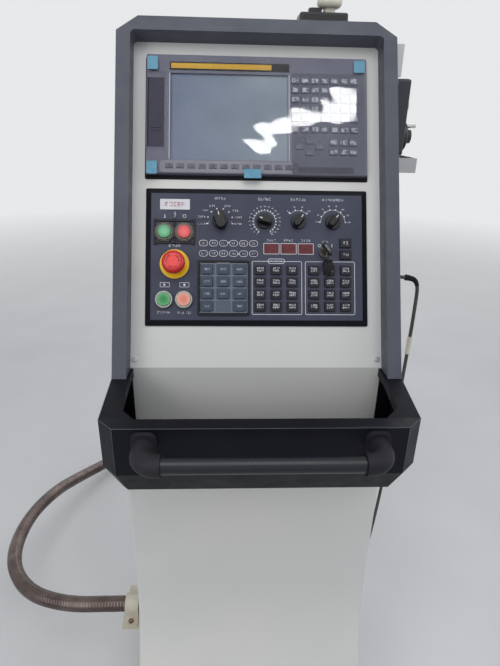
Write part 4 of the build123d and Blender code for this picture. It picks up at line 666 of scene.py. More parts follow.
# %% Floor, background and lamps
BACKDROP = (0.80, 0.81, 0.82, 1.0)
shape = bmesh.new()
bmesh.ops.create_circle(shape, cap_ends=True, segments=96, radius=14.0)
floor_mesh = bpy.data.meshes.new("studio_floor")
shape.to_mesh(floor_mesh)
shape.free()
floor = in_scene("studio_floor", floor_mesh)
floor_finish, tree, shader = new_finish("studio_floor", Roughness=0.7)
tree.links.new(mix_colours(tree, levels(tree, cloud(tree, 3, 3.0), 0.3, 0.7), (0.62, 0.63, 0.64, 1),
                           (0.66, 0.67, 0.68, 1)), shader.inputs["Base Color"])
floor_place = node(tree, "ShaderNodeTexCoord").outputs["Object"]
reach = node(tree, "ShaderNodeVectorMath", {0: floor_place}, operation="LENGTH")
distant = levels(tree, reach.outputs["Value"], 2.2, 7.0)
ray = node(tree, "ShaderNodeLightPath").outputs
seen = sums(tree, "MAXIMUM", ray["Is Camera Ray"], ray["Is Glossy Ray"])
glow = node(tree, "ShaderNodeEmission", {"Color": BACKDROP, "Strength": 1.0})
blend = node(tree, "ShaderNodeMixShader", {0: sums(tree, "MULTIPLY", distant, seen),
                                           1: shader.outputs["BSDF"], 2: glow.outputs["Emission"]})
tree.links.new(blend.outputs["Shader"], tree.nodes["Material Output"].inputs["Surface"])
floor_mesh.materials.append(floor_finish)

world = bpy.data.worlds.new("studio")
bpy.context.scene.world = world
world.use_nodes = True
tree = world.node_tree
ray = node(tree, "ShaderNodeLightPath").outputs
seen = sums(tree, "MAXIMUM", sums(tree, "MAXIMUM", ray["Is Camera Ray"], ray["Is Glossy Ray"]),
            ray["Is Transmission Ray"])
tree.links.new(mix_colours(tree, seen, (0.42, 0.43, 0.45, 1), BACKDROP),
               tree.nodes["Background"].inputs["Color"])
bpy.context.scene.view_settings.view_transform = "Standard"


def soft_lamp(name, place, target, size, watts, colour=(1, 1, 1)):
    """A rectangular soft box that faces a target."""
    light = bpy.data.lights.new(name, "AREA")
    light.shape, light.size, light.size_y = "RECTANGLE", size[0], size[1]
    light.energy, light.color = watts, colour
    lamp = in_scene(name, light)
    aim = (Vector(target) - Vector(place)).to_track_quat("-Z", "Y")
    lamp.matrix_world = Matrix.Translation(place) @ aim.to_matrix().to_4x4()
    return lamp


soft_lamp("left_front_box", (-2.4, -2.6, 2.4), (0, 0, 0.9), (1.8, 1.8), 30, (1.0, 0.99, 0.97))
soft_lamp("right_side_box", (2.8, -0.6, 2.0), (0, 0, 0.9), (1.4, 1.8), 14, (0.97, 0.98, 1.0))
soft_lamp("ceiling_box", (0.1, -1.5, 3.5), (0, 0, 1.1), (2.4, 2.0), 30)
soft_lamp("rear_box", (0.6, 3.2, 2.6), (0, 0, 0.9), (2.0, 1.6), 26)

# A bright window mirrors in the film over the keys. The lamp for it stands where the camera's
# rays go after the film turns them back, and it lights nothing but the film.
glare_on_film = FACE @ (Vector((84, 444, 15)) * MM)
out_of_face = (FACE.to_3x3() @ Vector((0, 0, 1))).normalized()
incoming = (glare_on_film - camera_place).normalized()
mirrored = incoming - 2 * incoming.dot(out_of_face) * out_of_face
window_glare = soft_lamp("window_glare", glare_on_film + 2.0 * mirrored, glare_on_film,
                         (0.58, 0.13), 19)
window_glare.matrix_world = window_glare.matrix_world @ Matrix.Rotation(radians(10), 4, "Z")
window_glare.visible_diffuse = False

# %% [markdown]
# ## Cords: the pendant's lead
# A cord is one smooth line of a fixed length. The lead leaves a gland on the right side, turns
# down, hangs in a long loop and comes back up into the hand pendant. A NURBS line led by control
# points gives that loop; its order is set after its points, because before them Blender
# would leave it at straight runs.

# %% Route of the lead


def smooth_route(name, points, fineness=12):
    """A NURBS line with the given control points, in millimetres."""
    line = bpy.data.curves.new(name, "CURVE")
    line.dimensions = "3D"
    line.resolution_u = fineness
    spline = line.splines.new("NURBS")
    spline.points.add(len(points) - 1)
    for control, place in zip(spline.points, points):
        control.co = (*(Vector(place) * MM), 1.0)
    spline.order_u = 3
    spline.use_endpoint_u = True
    return in_scene(name, line)


def as_mesh(made):
    """A plain mesh of an object as it stands, with its modifiers worked out."""
    return bpy.data.meshes.new_from_object(made.evaluated_get(bpy.context.evaluated_depsgraph_get()))


def walked(route):
    """The points along a route, and the distance covered at each of them."""
    bare = as_mesh(route)
    points = [vertex.co.copy() for vertex in bare.vertices]
    bpy.data.meshes.remove(bare)
    covered = [0.0]
    for before, after in zip(points, points[1:]):
        covered.append(covered[-1] + (after - before).length)
    return points, covered


lead_points = [
    (263, 45, 1040), (294, 45, 1040), (308, 45, 1026), (309, 45.2, 988), (309.2, 45.8, 930),
    (308.2, 47.3, 840), (307, 50, 740), (305.8, 54, 640), (304.6, 60, 545), (303.2, 68, 455),
    (301.8, 78, 375), (300.4, 88, 322), (299, 97, 285), (295.2, 123, 262), (289.2, 160, 262),
    (284.6, 187, 286), (283, 196, 334), (281.6, 205, 397), (280, 214.5, 485), (278.6, 222.5, 580),
    (277.6, 228.6, 680), (276.8, 233.2, 780), (276.2, 236.8, 880), (275.7, 240, 985),
    (275.3, 242.4, 1080), (275.1, 243.9, 1160), (275, 245, 1238.7),
]
lead_route = smooth_route("pendant_lead_line", lead_points)
lead_path, lead_covered = walked(lead_route)
print("lead length:", round(lead_covered[-1], 4), "m")

# %% [markdown]
# ## Cords: the conduit and its coil
# The thick conduit leaves the column through a saddle clamp, swings out over the floor behind
# the console and is put away in a coil of nearly two turns. The coil's turns follow a rule, so a
# short loop writes their control points: the lower turn lies on the floor, the line then climbs
# one diameter, and the upper turn lies on the lower one before the end crosses over and comes
# down to the floor.

# %% Route of the conduit
coil_middle = Vector((-120.55, 781.35))
COIL_RADIUS = 203.9
COIL_STEPS, COIL_STEP = 28, 22.5
ON_FLOOR, ONE_TURN_UP = 19.0, 37.6
CLIMB_FROM, CLIMB_OVER = 310, 28
conduit_points = [
    (-236, 5, 230), (-330, 5, 230), (-445, 12, 221), (-560, 62, 207), (-640, 170, 200),
    (-655, 330, 190), (-628, 490, 155), (-592, 612, 108), (-548, 735, 60), (-485, 850, 28),
    (-385, 930, 19.2),
]
for step in range(COIL_STEPS):
    turned_by = COIL_STEP * (step + 0.5)
    climb = min(max((turned_by - CLIMB_FROM) / CLIMB_OVER, 0), 1)
    way = radians(100.5 - turned_by)
    conduit_points.append((coil_middle.x + COIL_RADIUS * cos(way), coil_middle.y + COIL_RADIUS * sin(way),
                           ON_FLOOR + ONE_TURN_UP * climb))
conduit_points += [
    (-322, 812, 56.6), (-308, 899, 56.6), (-266, 984, 58), (-202, 1054, 56), (-120, 1101, 43),
    (-27, 1128, 29), (77, 1151, 26),
]
conduit_route = smooth_route("conduit_line", conduit_points, 10)
conduit_path, conduit_covered = walked(conduit_route)
print("conduit length:", round(conduit_covered[-1], 4), "m")

# %% [markdown]
# ## Geometry Nodes: a ribbed tube on a route
# A corrugated jacket is a circle carried along a line while its radius goes up and down. In a
# node tree that is: trim the line, cut it into even steps, and set the circle's size at each
# step from the distance covered. The circle itself can be drawn in a little at even angles, which
# gives the long shallow flutes of a wound metal hose. The same tree makes the conduit's jacket,
# the ribbed strain relief on the lead and the marker sleeve, with other numbers.

# %% The ribbed tube tree


def new_tree(name, inputs):
    """An empty geometry tree with named inputs; each input is its socket kind and usual value."""
    tree = bpy.data.node_groups.new(name, "GeometryNodeTree")
    tree.interface.new_socket("Geometry", in_out="INPUT", socket_type="NodeSocketGeometry")
    for words, (kind, value) in inputs.items():
        socket = tree.interface.new_socket(words, in_out="INPUT", socket_type="NodeSocket" + kind)
        if value is not None:
            socket.default_value = value
    tree.interface.new_socket("Geometry", in_out="OUTPUT", socket_type="NodeSocketGeometry")
    given = tree.nodes.new("NodeGroupInput").outputs
    sizes = {words: Amount(given[words]) for words in inputs}
    return tree, sizes, tree.nodes.new("NodeGroupOutput").inputs[0]


def finish_tree(tree, geometry, sizes, result):
    """Ends a tree as every tree here ends: instances made real, then the material."""
    real = node(tree, "GeometryNodeRealizeInstances", {"Geometry": geometry}).outputs[0]
    coated = node(tree, "GeometryNodeSetMaterial", {
        "Geometry": real, "Material": sizes["Finish"]}).outputs[0]
    tree.links.new(coated, result)
    print("tree", tree.name, "with", len(tree.nodes), "nodes")


ribbed_tube, sizes, result = new_tree("ribbed_tube", {
    "Route": ("Object", None), "From": ("Float", 0.0), "To": ("Float", 1.0), "Radius": ("Float", 0.02),
    "End Radius": ("Float", 0.02), "Rib Depth": ("Float", 0.001), "Rib Pitch": ("Float", 0.0065),
    "Rings": ("Int", 100), "Sides": ("Int", 16), "Flutes": ("Int", 0), "Flute Share": ("Float", 0.0),
    "Finish": ("Material", None)})
line = node(ribbed_tube, "GeometryNodeObjectInfo", {"Object": sizes["Route"]}).outputs["Geometry"]
cut = node(ribbed_tube, "GeometryNodeTrimCurve", {"Curve": line}, mode="LENGTH")
cut_ends = [socket for socket in cut.inputs if socket.name in ("Start", "End") and socket.enabled]
for cut_end, words in zip(cut_ends, ("From", "To")):
    ribbed_tube.links.new(sizes[words].socket, cut_end)
even = node(ribbed_tube, "GeometryNodeResampleCurve", {"Curve": cut.outputs[0], "Count": sizes["Rings"]},
            mode="COUNT")
along = node(ribbed_tube, "GeometryNodeSplineParameter").outputs
phase = Amount(along["Length"]) / sizes["Rib Pitch"] * (2 * pi)
dip = sizes["Rib Depth"] * 0.5 * (phase.of("COSINE") + 1.0)
taper = (sizes["End Radius"] - sizes["Radius"]) * Amount(along["Factor"])
radius = sizes["Radius"] + taper - dip

circle = node(ribbed_tube, "GeometryNodeCurvePrimitiveCircle", {"Resolution": sizes["Sides"], "Radius": 1.0})
spot = node(ribbed_tube, "GeometryNodeInputPosition").outputs[0]
spot_parts = node(ribbed_tube, "ShaderNodeSeparateXYZ", {"Vector": spot}).outputs
round_angle = Amount(sums(ribbed_tube, "ARCTAN2", spot_parts["Y"], spot_parts["X"]))
drawn = 1.0 - sizes["Flute Share"] * (round_angle * sizes["Flutes"]).of("COSINE")
fluted = node(ribbed_tube, "ShaderNodeVectorMath", {0: spot, "Scale": drawn}, operation="SCALE").outputs[0]
circle = node(ribbed_tube, "GeometryNodeSetPosition", {"Geometry": circle.outputs[0], "Position": fluted})
jacket = node(ribbed_tube, "GeometryNodeCurveToMesh", {
    "Curve": even.outputs[0], "Profile Curve": circle.outputs[0], "Scale": radius, "Fill Caps": True})
round_look = node(ribbed_tube, "GeometryNodeSetShadeSmooth", {"Geometry": jacket.outputs[0]})
finish_tree(ribbed_tube, round_look.outputs[0], sizes, result)


def grown(name, tree, values, finish, body="console", on=None):
    """Runs a tree once, keeps the result as a plain mesh and sets it on its seat."""
    holder = in_scene(name + "_maker", bpy.data.meshes.new(name + "_maker"))
    modifier = holder.modifiers.new("grow", "NODES")
    modifier.node_group = tree
    sockets = {item.name: item.identifier for item in tree.interface.items_tree
               if item.item_type == "SOCKET" and item.in_out == "INPUT"}
    for words, value in {**values, "Finish": finish}.items():
        modifier[sockets[words]] = value
    mesh = as_mesh(holder)
    bpy.data.objects.remove(holder)
    mesh.name = name
    if on is not None:
        mesh.transform(on)
    piece = in_scene(name, mesh)
    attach(piece, body)
    print("grew", name, "with", len(mesh.polygons), "faces, on", body)
    return piece


# %% [markdown]
# ## The conduit's jacket
# Close up the real hose shows fine cross ribs, long bright streaks and a brown-mauve sheen, like
# tarnished metal. It is made half metallic for that, and a cloud of grime dulls it in places.
# The ribs and flutes are real shape, so they catch the light by themselves.

# %% Make the conduit
conduit_jacket, tree, shader = surface(
    "conduit_jacket", tint(110, 96, 91), tint(82, 69, 66), 0.27, tone_scale=11, grain_scale=900,
    grain_depth=0.03, gloss_change=0.07, Metallic=0.5)
lay_over(tree, shader, levels(tree, cloud(tree, 38, 4.0), 0.5, 0.75, 0.0, 0.6), tint(56, 46, 44))
conduit_length = conduit_covered[-1]
HOSE_RADIUS, RIB_PITCH, RINGS_PER_RIB = 0.0180, 0.0072, 4
conduit_tube = grown("conduit_tube", ribbed_tube, {
    "Route": conduit_route, "From": 0.0, "To": conduit_length, "Radius": HOSE_RADIUS,
    "End Radius": HOSE_RADIUS, "Rib Depth": 0.0010, "Rib Pitch": RIB_PITCH,
    "Rings": int(conduit_length / RIB_PITCH * RINGS_PER_RIB), "Sides": 32, "Flutes": 8,
    "Flute Share": 0.04}, conduit_jacket)
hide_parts("conduit", "conduit_coil")

# %% [markdown]
# ## The lead, its strain relief and its marker
# The lead is a curve with a round bevel, the simplest way to a smooth cable. Where it leaves the
# gland a tapered, ribbed sleeve spreads the bend, and a pale marker sleeve sits below it, as on
# any wired machine. Both follow the lead's own route, so they bend with it.

# %% Make the lead
lead_cable = in_scene("lead_cable", lead_route.data.copy())
lead_cable.data.bevel_depth = 3.5 * MM
lead_cable.data.bevel_resolution = 4
lead_cable.data.use_fill_caps = True
lead_cable.data.materials.append(lead_rubber)
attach(lead_cable, "console")
marker_start = next(covered for place, covered in zip(lead_path, lead_covered) if place.z < 0.920)
marker_sleeve = grown("marker_sleeve", ribbed_tube, {
    "Route": lead_route, "From": marker_start, "To": marker_start + 0.038, "Radius": 0.0047,
    "End Radius": 0.0047, "Rib Depth": 0.0, "Rib Pitch": 0.01, "Rings": 12, "Sides": 20},
    sleeve_plastic)
lead_boot = grown("lead_boot", ribbed_tube, {
    "Route": lead_route, "From": 0.018, "To": 0.050, "Radius": 0.0062, "End Radius": 0.0043,
    "Rib Depth": 0.0009, "Rib Pitch": 0.0042, "Rings": 62, "Sides": 20}, seal_rubber)
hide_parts("pendant_lead")
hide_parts("lead_sleeves")
bpy.data.objects.remove(lead_route)
bpy.data.objects.remove(conduit_route)

# %% [markdown]
# ## Geometry Nodes: marks on an arc
# Dials, scales and graduations are the same thing: small blocks at even angles round a centre.
# The tree makes one point for each mark, places it by sine and cosine of its angle, and turns the
# block to face outwards. Every few marks may be longer, as on a handwheel.

# %% The marks tree
marks_tree, sizes, result = new_tree("marks_on_an_arc", {
    "Count": ("Int", 12), "First Angle": ("Float", 0.0), "Step": ("Float", 0.1), "Radius": ("Float", 0.02),
    "Width": ("Float", 0.001), "Length": ("Float", 0.002), "Long Every": ("Int", 1000),
    "Long Length": ("Float", 0.004), "Thickness": ("Float", 0.0001), "Finish": ("Material", None)})
number = Amount(node(marks_tree, "GeometryNodeInputIndex").outputs[0])
angle = sizes["First Angle"] + number * sizes["Step"]
since_long = number.step("MODULO", number, sizes["Long Every"])
is_long = number.step("COMPARE", since_long, 0.0)
length = sizes["Length"] + is_long * (sizes["Long Length"] - sizes["Length"])
reach = sizes["Radius"] + length * 0.5
place = node(marks_tree, "ShaderNodeCombineXYZ", {
    "X": reach * angle.of("SINE"), "Y": reach * angle.of("COSINE"),
    "Z": sizes["Thickness"] * 0.5}).outputs[0]
points = node(marks_tree, "GeometryNodePoints", {"Count": sizes["Count"], "Position": place}).outputs[0]
block = node(marks_tree, "GeometryNodeMeshCube", {"Size": (1, 1, 1)}).outputs["Mesh"]
turn = node(marks_tree, "ShaderNodeCombineXYZ", {"Z": angle * -1.0}).outputs[0]
turn = node(marks_tree, "FunctionNodeEulerToRotation", {"Euler": turn}).outputs[0]
size = node(marks_tree, "ShaderNodeCombineXYZ", {
    "X": sizes["Width"], "Y": length, "Z": sizes["Thickness"]}).outputs[0]
marks = node(marks_tree, "GeometryNodeInstanceOnPoints", {
    "Points": points, "Instance": block, "Rotation": turn, "Scale": size}).outputs[0]
finish_tree(marks_tree, marks, sizes, result)

white_ink = surface("white_ink", tint(222, 226, 230), tint(208, 212, 218), 0.55, tone_scale=60)[0]
dark_ink = surface("dark_ink", tint(52, 50, 62), tint(44, 42, 54), 0.55, tone_scale=60)[0]
grey_ink = surface("grey_ink", tint(132, 140, 152), tint(120, 128, 142), 0.55, tone_scale=60)[0]
pale_ink = surface("pale_ink", tint(186, 194, 204), tint(172, 182, 194), 0.55, tone_scale=60)[0]
pink_ink = surface("pink_ink", tint(196, 118, 124), tint(186, 104, 112), 0.55, tone_scale=60)[0]

INK = 0.12
PRINT_LOW, PRINT_HIGH = 8.0, 8.12
KNOB_ROW = 262.5
MODE, FEED, RAPID, SPINDLE = -67, 13, 74, 136.5


def dial(name, across, count, first, last, radius, width, length):
    """White marks round a knob; angles in degrees, clockwise from straight up."""
    return grown(name, marks_tree, {
        "Count": count, "First Angle": radians(first), "Step": radians((last - first) / (count - 1)),
        "Radius": radius * MM, "Width": width * MM, "Length": length * MM, "Thickness": INK * MM},
        white_ink, on=FACE @ Matrix.Translation(Vector((across, KNOB_ROW, PRINT_LOW)) * MM))


for row in (("mode_marks", MODE, 8, -102, 102, 21.5, 2.3, 2.3),
            ("feed_marks", FEED, 21, -150, 150, 20.0, 1.9, 2.3),
            ("rapid_marks", RAPID, 4, -45, 45, 20.5, 2.3, 2.6),
            ("spindle_marks", SPINDLE, 8, -90, 90, 22.0, 2.3, 2.4)):
    dial(*row)

# %% [markdown]
# ## Geometry Nodes: rows of small print
# The legends on keys and beside the knobs are too small to read. A tree stacks short strokes
# into letter-sized clusters for them, in lines, on a grid of keys. A fixed seed decides which
# strokes each cluster gets, so that every run of the script prints the same marks.

# %% The print tree
print_tree, sizes, result = new_tree("rows_of_print", {
    "Groups Across": ("Int", 1), "Groups Up": ("Int", 1), "Group Pitch Across": ("Float", 0.02),
    "Group Pitch Up": ("Float", 0.02), "Letters": ("Int", 4), "Lines": ("Int", 1),
    "Letter Pitch": ("Float", 0.004), "Line Pitch": ("Float", 0.005), "Letter Width": ("Float", 0.003),
    "Letter Height": ("Float", 0.004), "Stroke": ("Float", 0.0005), "Strokes": ("Int", 4),
    "Thickness": ("Float", 0.0001), "Seed": ("Int", 1), "Finish": ("Material", None)})


def whole(first, second):
    """Whole-number division."""
    return ((first + 0.001) / second).of("FLOOR")


def centred(index, count, pitch):
    """A place in a row that is centred on zero."""
    return (index - (count - 1.0) * 0.5) * pitch


def nudge(offset):
    """A whole number from -1 to 1 that the seed decides."""
    return Amount(node(print_tree, "FunctionNodeRandomValue", {
        4: -1, 5: 1, "Seed": sizes["Seed"] + offset}, data_type="INT").outputs[2])


number = Amount(node(print_tree, "GeometryNodeInputIndex").outputs[0])
letter = whole(number, sizes["Strokes"])
line = whole(letter, sizes["Letters"])
letter_in_line = letter - line * sizes["Letters"]
group = whole(line, sizes["Lines"])
line_in_group = line - group * sizes["Lines"]
row = whole(group, sizes["Groups Across"])
column = group - row * sizes["Groups Across"]
upright = Amount(node(print_tree, "FunctionNodeRandomValue", {
    "Probability": 0.45, "Seed": sizes["Seed"] + 7.0}, data_type="BOOLEAN").outputs[3])
flat = 1.0 - upright
shift_across = nudge(0.0) * (sizes["Letter Width"] * 0.5) * upright
shift_up = nudge(1.0) * (sizes["Letter Height"] * 0.5) * flat
across = (centred(column, sizes["Groups Across"], sizes["Group Pitch Across"])
          + centred(letter_in_line, sizes["Letters"], sizes["Letter Pitch"]))
down = (centred(row, sizes["Groups Up"], sizes["Group Pitch Up"])
        + centred(line_in_group, sizes["Lines"], sizes["Line Pitch"]))
place = node(print_tree, "ShaderNodeCombineXYZ", {
    "X": across + shift_across, "Y": shift_up - down, "Z": sizes["Thickness"] * 0.5}).outputs[0]
total = sizes["Groups Across"] * sizes["Groups Up"] * (
    sizes["Letters"] * sizes["Lines"] * sizes["Strokes"])
points = node(print_tree, "GeometryNodePoints", {"Count": total, "Position": place}).outputs[0]
block = node(print_tree, "GeometryNodeMeshCube", {"Size": (1, 1, 1)}).outputs["Mesh"]
wide = upright * sizes["Stroke"] + flat * sizes["Letter Width"]
tall = upright * sizes["Letter Height"] + flat * sizes["Stroke"]
size = node(print_tree, "ShaderNodeCombineXYZ", {"X": wide, "Y": tall, "Z": sizes["Thickness"]}).outputs[0]
strokes = node(print_tree, "GeometryNodeInstanceOnPoints", {
    "Points": points, "Instance": block, "Scale": size}).outputs[0]
finish_tree(print_tree, strokes, sizes, result)


def legend(name, centre, letters, height, pitch, out=PRINT_LOW, groups=(1, 1), group_pitch=(20, 20),
           lines=1, line_pitch=5.0, seed=1, ink=white_ink, body="console", strokes=4,
           width=None, line_width=0.5):
    """A block of generic print on the leaning face; every size is in millimetres."""
    return grown(name, print_tree, {
        "Groups Across": groups[0], "Groups Up": groups[1], "Group Pitch Across": group_pitch[0] * MM,
        "Group Pitch Up": group_pitch[1] * MM, "Letters": letters, "Lines": lines,
        "Letter Pitch": pitch * MM, "Line Pitch": line_pitch * MM,
        "Letter Width": (width or 0.62 * pitch) * MM, "Letter Height": height * MM,
        "Stroke": line_width * MM, "Strokes": strokes, "Thickness": INK * MM, "Seed": seed}, ink,
        body, FACE @ Matrix.Translation(Vector((centre[0], centre[1], out)) * MM))


# %% [markdown]
# ## Print on the operator panel
# Everything here is one layer of ink on the slate: titles over the knobs, frames round the key
# groups, rings round the lamps and windows. Drawing it flat on the face's seat keeps each mark
# on the surface that carries it.

# %% Titles and labels on the panel
LAMPS_ACROSS, LAMPS_UP = -51.7, 212.7
LAMP_PITCH = (17.9, 18.5)
WINDOWS_ACROSS, WINDOW_PITCH = 56.0, 30.9
LAMP_TOP = 9.2
for name, across, letters, seed in (("mode_title", MODE, 4, 3), ("feed_title", FEED, 5, 5),
                                    ("rapid_title", RAPID, 6, 9), ("spindle_title", SPINDLE, 8, 12)):
    legend(name, (across, 303), letters, 4.0, 4.9, seed=seed)
for name, across, up, letters, seed in (
        ("mode_word_1", -100, 257, 4, 21), ("mode_word_2", -100, 270, 4, 22),
        ("mode_word_3", -93, 281.5, 3, 23), ("mode_word_4", -81, 289.5, 3, 24),
        ("mode_word_5", -54, 289.5, 3, 25), ("mode_word_6", -39, 281.5, 3, 26),
        ("mode_word_7", -34.5, 269.5, 4, 27), ("mode_word_8", -35, 257, 4, 28)):
    legend(name, (across, up), letters, 3.0, 3.7, seed=seed, line_width=0.45, strokes=3)
legend("emergency_title", (HEAD_CENTRE[0], 217), 4, 3.6, 5.6, seed=31)
legend("cycle_titles", (-148, 97.5), 4, 4.2, 6.0, groups=(2, 1), group_pitch=(36, 10), seed=35)
legend("window_titles", (WINDOWS_ACROSS, 228.5), 4, 3.0, 4.4, groups=(3, 1),
       group_pitch=(WINDOW_PITCH, 10), seed=38, line_width=0.45)
legend("lamp_letters", (LAMPS_ACROSS, LAMPS_UP), 2, 3.4, 3.6, out=LAMP_TOP, groups=(6, 2),
       group_pitch=LAMP_PITCH, seed=41, line_width=0.45, strokes=3)

# %% [markdown]
# ## Rings, frames and small symbols
# The same flat drawing makes the white ovals round the lamps, the window frames, the outlines of
# the two key groups and the symbols over the push-buttons: a bar for on, a ring for off, and a
# small frame over each of the start and stop buttons.

# %% Frames and symbols
shape = bmesh.new()
for column in range(6):
    for row in range(2):
        centre = (LAMPS_ACROSS + (column - 2.5) * LAMP_PITCH[0], LAMPS_UP + (row - 0.5) * LAMP_PITCH[1])
        band(shape, rounded(15.6, 11.2, 5.5, *centre, steps=5), 0.75, LAMP_TOP, LAMP_TOP + INK)
for column in (-1, 0, 1):
    across = WINDOWS_ACROSS + column * WINDOW_PITCH
    band(shape, rounded(28.5, 20.0, 0.6, across, 213, steps=1), 0.9, 9.0, 9.12)
settle("lamp_and_window_rings", shape, white_ink)

shape = bmesh.new()
for left, right in ((-9.9, 80.1), (85.7, 176.0)):
    frame_line = rounded(right - left, 96.3, 3.0, (left + right) / 2, 142.55, steps=3)
    band(shape, frame_line, 0.9, PRINT_LOW, PRINT_HIGH)
band(shape, rounded(31, 9, 4.4, 34, 190.6, steps=5), 0.9, 8.13, 8.26)
for across, radius, width, first, last, steps in (
        (MODE, 20.0, 0.4, -102, -90, 3), (MODE, 20.0, 0.4, 90, 102, 3), (FEED, 19.6, 0.5, -150, 150, 60),
        (RAPID, 20.4, 0.6, -45, 45, 20), (SPINDLE, 22.0, 0.6, -90, 90, 36), (FEED, 24.0, 0.5, 138, 158, 5)):
    sweep(shape, (across, KNOB_ROW), radius, width, first, last, PRINT_LOW, PRINT_HIGH, steps)
settle("panel_frames", shape, white_ink)
legend("group_title", (34, 190.6), 5, 2.6, 4.4, out=8.13, seed=44, line_width=0.45)

shape = bmesh.new()
stroke(shape, (-165.5, 267.6), (-165.5, 273.4), 1.1, PRINT_LOW, PRINT_HIGH)
stroke(shape, (-167.6, 267.6), (-163.4, 267.6), 0.8, PRINT_HIGH, 8.2)
for start, end in (((-146.6, 278.4), (-149.2, 274.2)), ((-149.2, 274.2), (-145.8, 274.6)),
                   ((-145.8, 274.6), (-148.4, 268.4))):
    stroke(shape, start, end, 0.8, PRINT_LOW, PRINT_HIGH)
band(shape, rounded(6.4, 6.4, 3.19, -130.5, 270.6, steps=6), 0.8, PRINT_LOW, PRINT_HIGH)
for across in (-164.5, -130.0):
    band(shape, rounded(17, 8.4, 0.8, across, 147, steps=2), 0.7, PRINT_LOW, PRINT_HIGH)
for tip in (0, 1, 2):
    across = -166.2 + tip * 1.2
    stroke(shape, (across, 144.8 + tip * 0.7), (across, 149.2 - tip * 0.7), 1.2, PRINT_HIGH, 8.2)
plate(shape, rounded(4.2, 4.2, 2.09, -130.0, 147, steps=5), PRINT_HIGH, 8.2)
band(shape, rounded(5.4, 5.4, 2.69, 111.8, 219.4, steps=5), 0.8, PRINT_LOW, PRINT_HIGH)
stroke(shape, (134.6, 216.6), (134.6, 222.6), 1.2, PRINT_LOW, PRINT_HIGH)
for first, last in ((-62, -12), (12, 62)):
    sweep(shape, (122.2, 222.2), 6.2, 0.6, first, last, PRINT_LOW, PRINT_HIGH, 8)
for across, up in ((-51.5, 223.8), (-33.8, 203.2), (-6.5, 204.8)):
    plate(shape, rounded(3.0, 2.4, 1.1, across, up, steps=3), PRINT_LOW, PRINT_HIGH)
settle("panel_symbols", shape, white_ink)

# %% [markdown]
# ## Numbers on the dials
# Blender's own font makes the numbers as text objects. Each becomes a mesh before it is placed,
# so that its place ends up in the mesh.

# %% Dial numbers


def numbers(name, entries, height, out, body="console", on=FACE):
    """Digits set at given places; an entry is (words, across, up, turn in degrees)."""
    joined = bmesh.new()
    for words, across, up, turn in entries:
        text = bpy.data.curves.new(name, "FONT")
        text.body, text.size, text.extrude = str(words), height * MM, 0.06 * MM
        text.align_x, text.align_y, text.resolution_u = "CENTER", "CENTER", 3
        writer = in_scene(name, text)
        mesh = as_mesh(writer)
        spin = Matrix.Rotation(radians(turn), 4, "Z")
        mesh.transform(Matrix.Translation(Vector((across, up, out + 0.06)) * MM) @ spin)
        joined.from_mesh(mesh)
        bpy.data.objects.remove(writer)
        bpy.data.meshes.remove(mesh)
    return settle(name, joined, white_ink, body, on)


def round_dial(across, values, first, last, radius):
    """Places for numbers round a knob."""
    entries = []
    for index, value in enumerate(values):
        angle = radians(first + (last - first) * index / (len(values) - 1))
        entries.append((value, across + radius * sin(angle), KNOB_ROW + radius * cos(angle), 0))
    return entries


numbers("feed_numbers", round_dial(FEED, range(0, 210, 10), -150, 150, 27.2), 3.1, PRINT_LOW)
numbers("rapid_numbers", round_dial(RAPID, (0, 25, 50, 100), -45, 45, 27.5), 3.8, PRINT_LOW)
numbers("spindle_numbers", round_dial(SPINDLE, range(50, 130, 10), -90, 90, 29.5), 3.6, PRINT_LOW)

# %% [markdown]
# ## Plates and guards of the push-buttons
# The two power buttons have eight-sided guards round them and a black frame of bars and corner
# blocks, and a white label plate lies above. A guard is five eight-sided rings joined into a
# hoop, so that the cap still moves inside it.

# %% Button plates
shape = bmesh.new()
octagon = [(cos(radians(22.5 + 45 * k)), sin(radians(22.5 + 45 * k))) for k in range(8)]
for across in BUTTONS_ACROSS:
    outer = [(across + 19.0 * x, POWER_ROW + 19.0 * y) for x, y in octagon]
    lip, inner = drawn_in(outer, 1.6), drawn_in(outer, 2.6)
    hoop(shape, [ring_of(shape, line, height) for line, height in (
        (outer, 8.0), (outer, 12.0), (lip, 13.4), (inner, 13.4), (inner, 8.0))])
guard_plastic = surface("guard_plastic", tint(84, 80, 72), tint(73, 70, 64), 0.36, tone_scale=40,
                        Coat_Weight=0.2)[0]
settle("button_guards", shape, guard_plastic)

bars = [(width, 38.5, 1.0, across, 242.0, 8.0, 10.6, 0.4)
        for across, width in ((-183.3, 3.0), (-148.0, 2.4), (-112.7, 3.0))]
bars += [(72, 3.4, 1.0, -148, level, 8.0, 10.6, 0.4) for level in (222.0, 262.0)]
bars += [(5.2, 5.2, 1.2, across, up, 8.0, 11.4, 0.6) for across, up in (
    (-181.5, 262.5), (-148, 262.5), (-114.5, 262.5), (-181.5, 221.2), (-148, 223.5), (-114.5, 221.2))]
plates("button_plate_edges", bars, knob_plastic)

label_plastic = surface("label_plastic", tint(216, 216, 222), tint(206, 205, 214), 0.35, tone_scale=40)[0]
plates("label_plate", [(53, 19, 1.0, -147.5, 291.5, 8.0, 8.9, 0.25)], label_plastic)
legend("label_marks", (-147.5, 291.5), 5, 6.6, 7.4, out=8.9, seed=52, ink=pink_ink, line_width=1.1,
       width=5.0, strokes=6)

# %% [markdown]
# ## Marks that move with their knobs
# A white line on each selector shows where it points, and darker arrows go round the emergency
# head. They ride on the knob, not on the panel, so they turn with it.

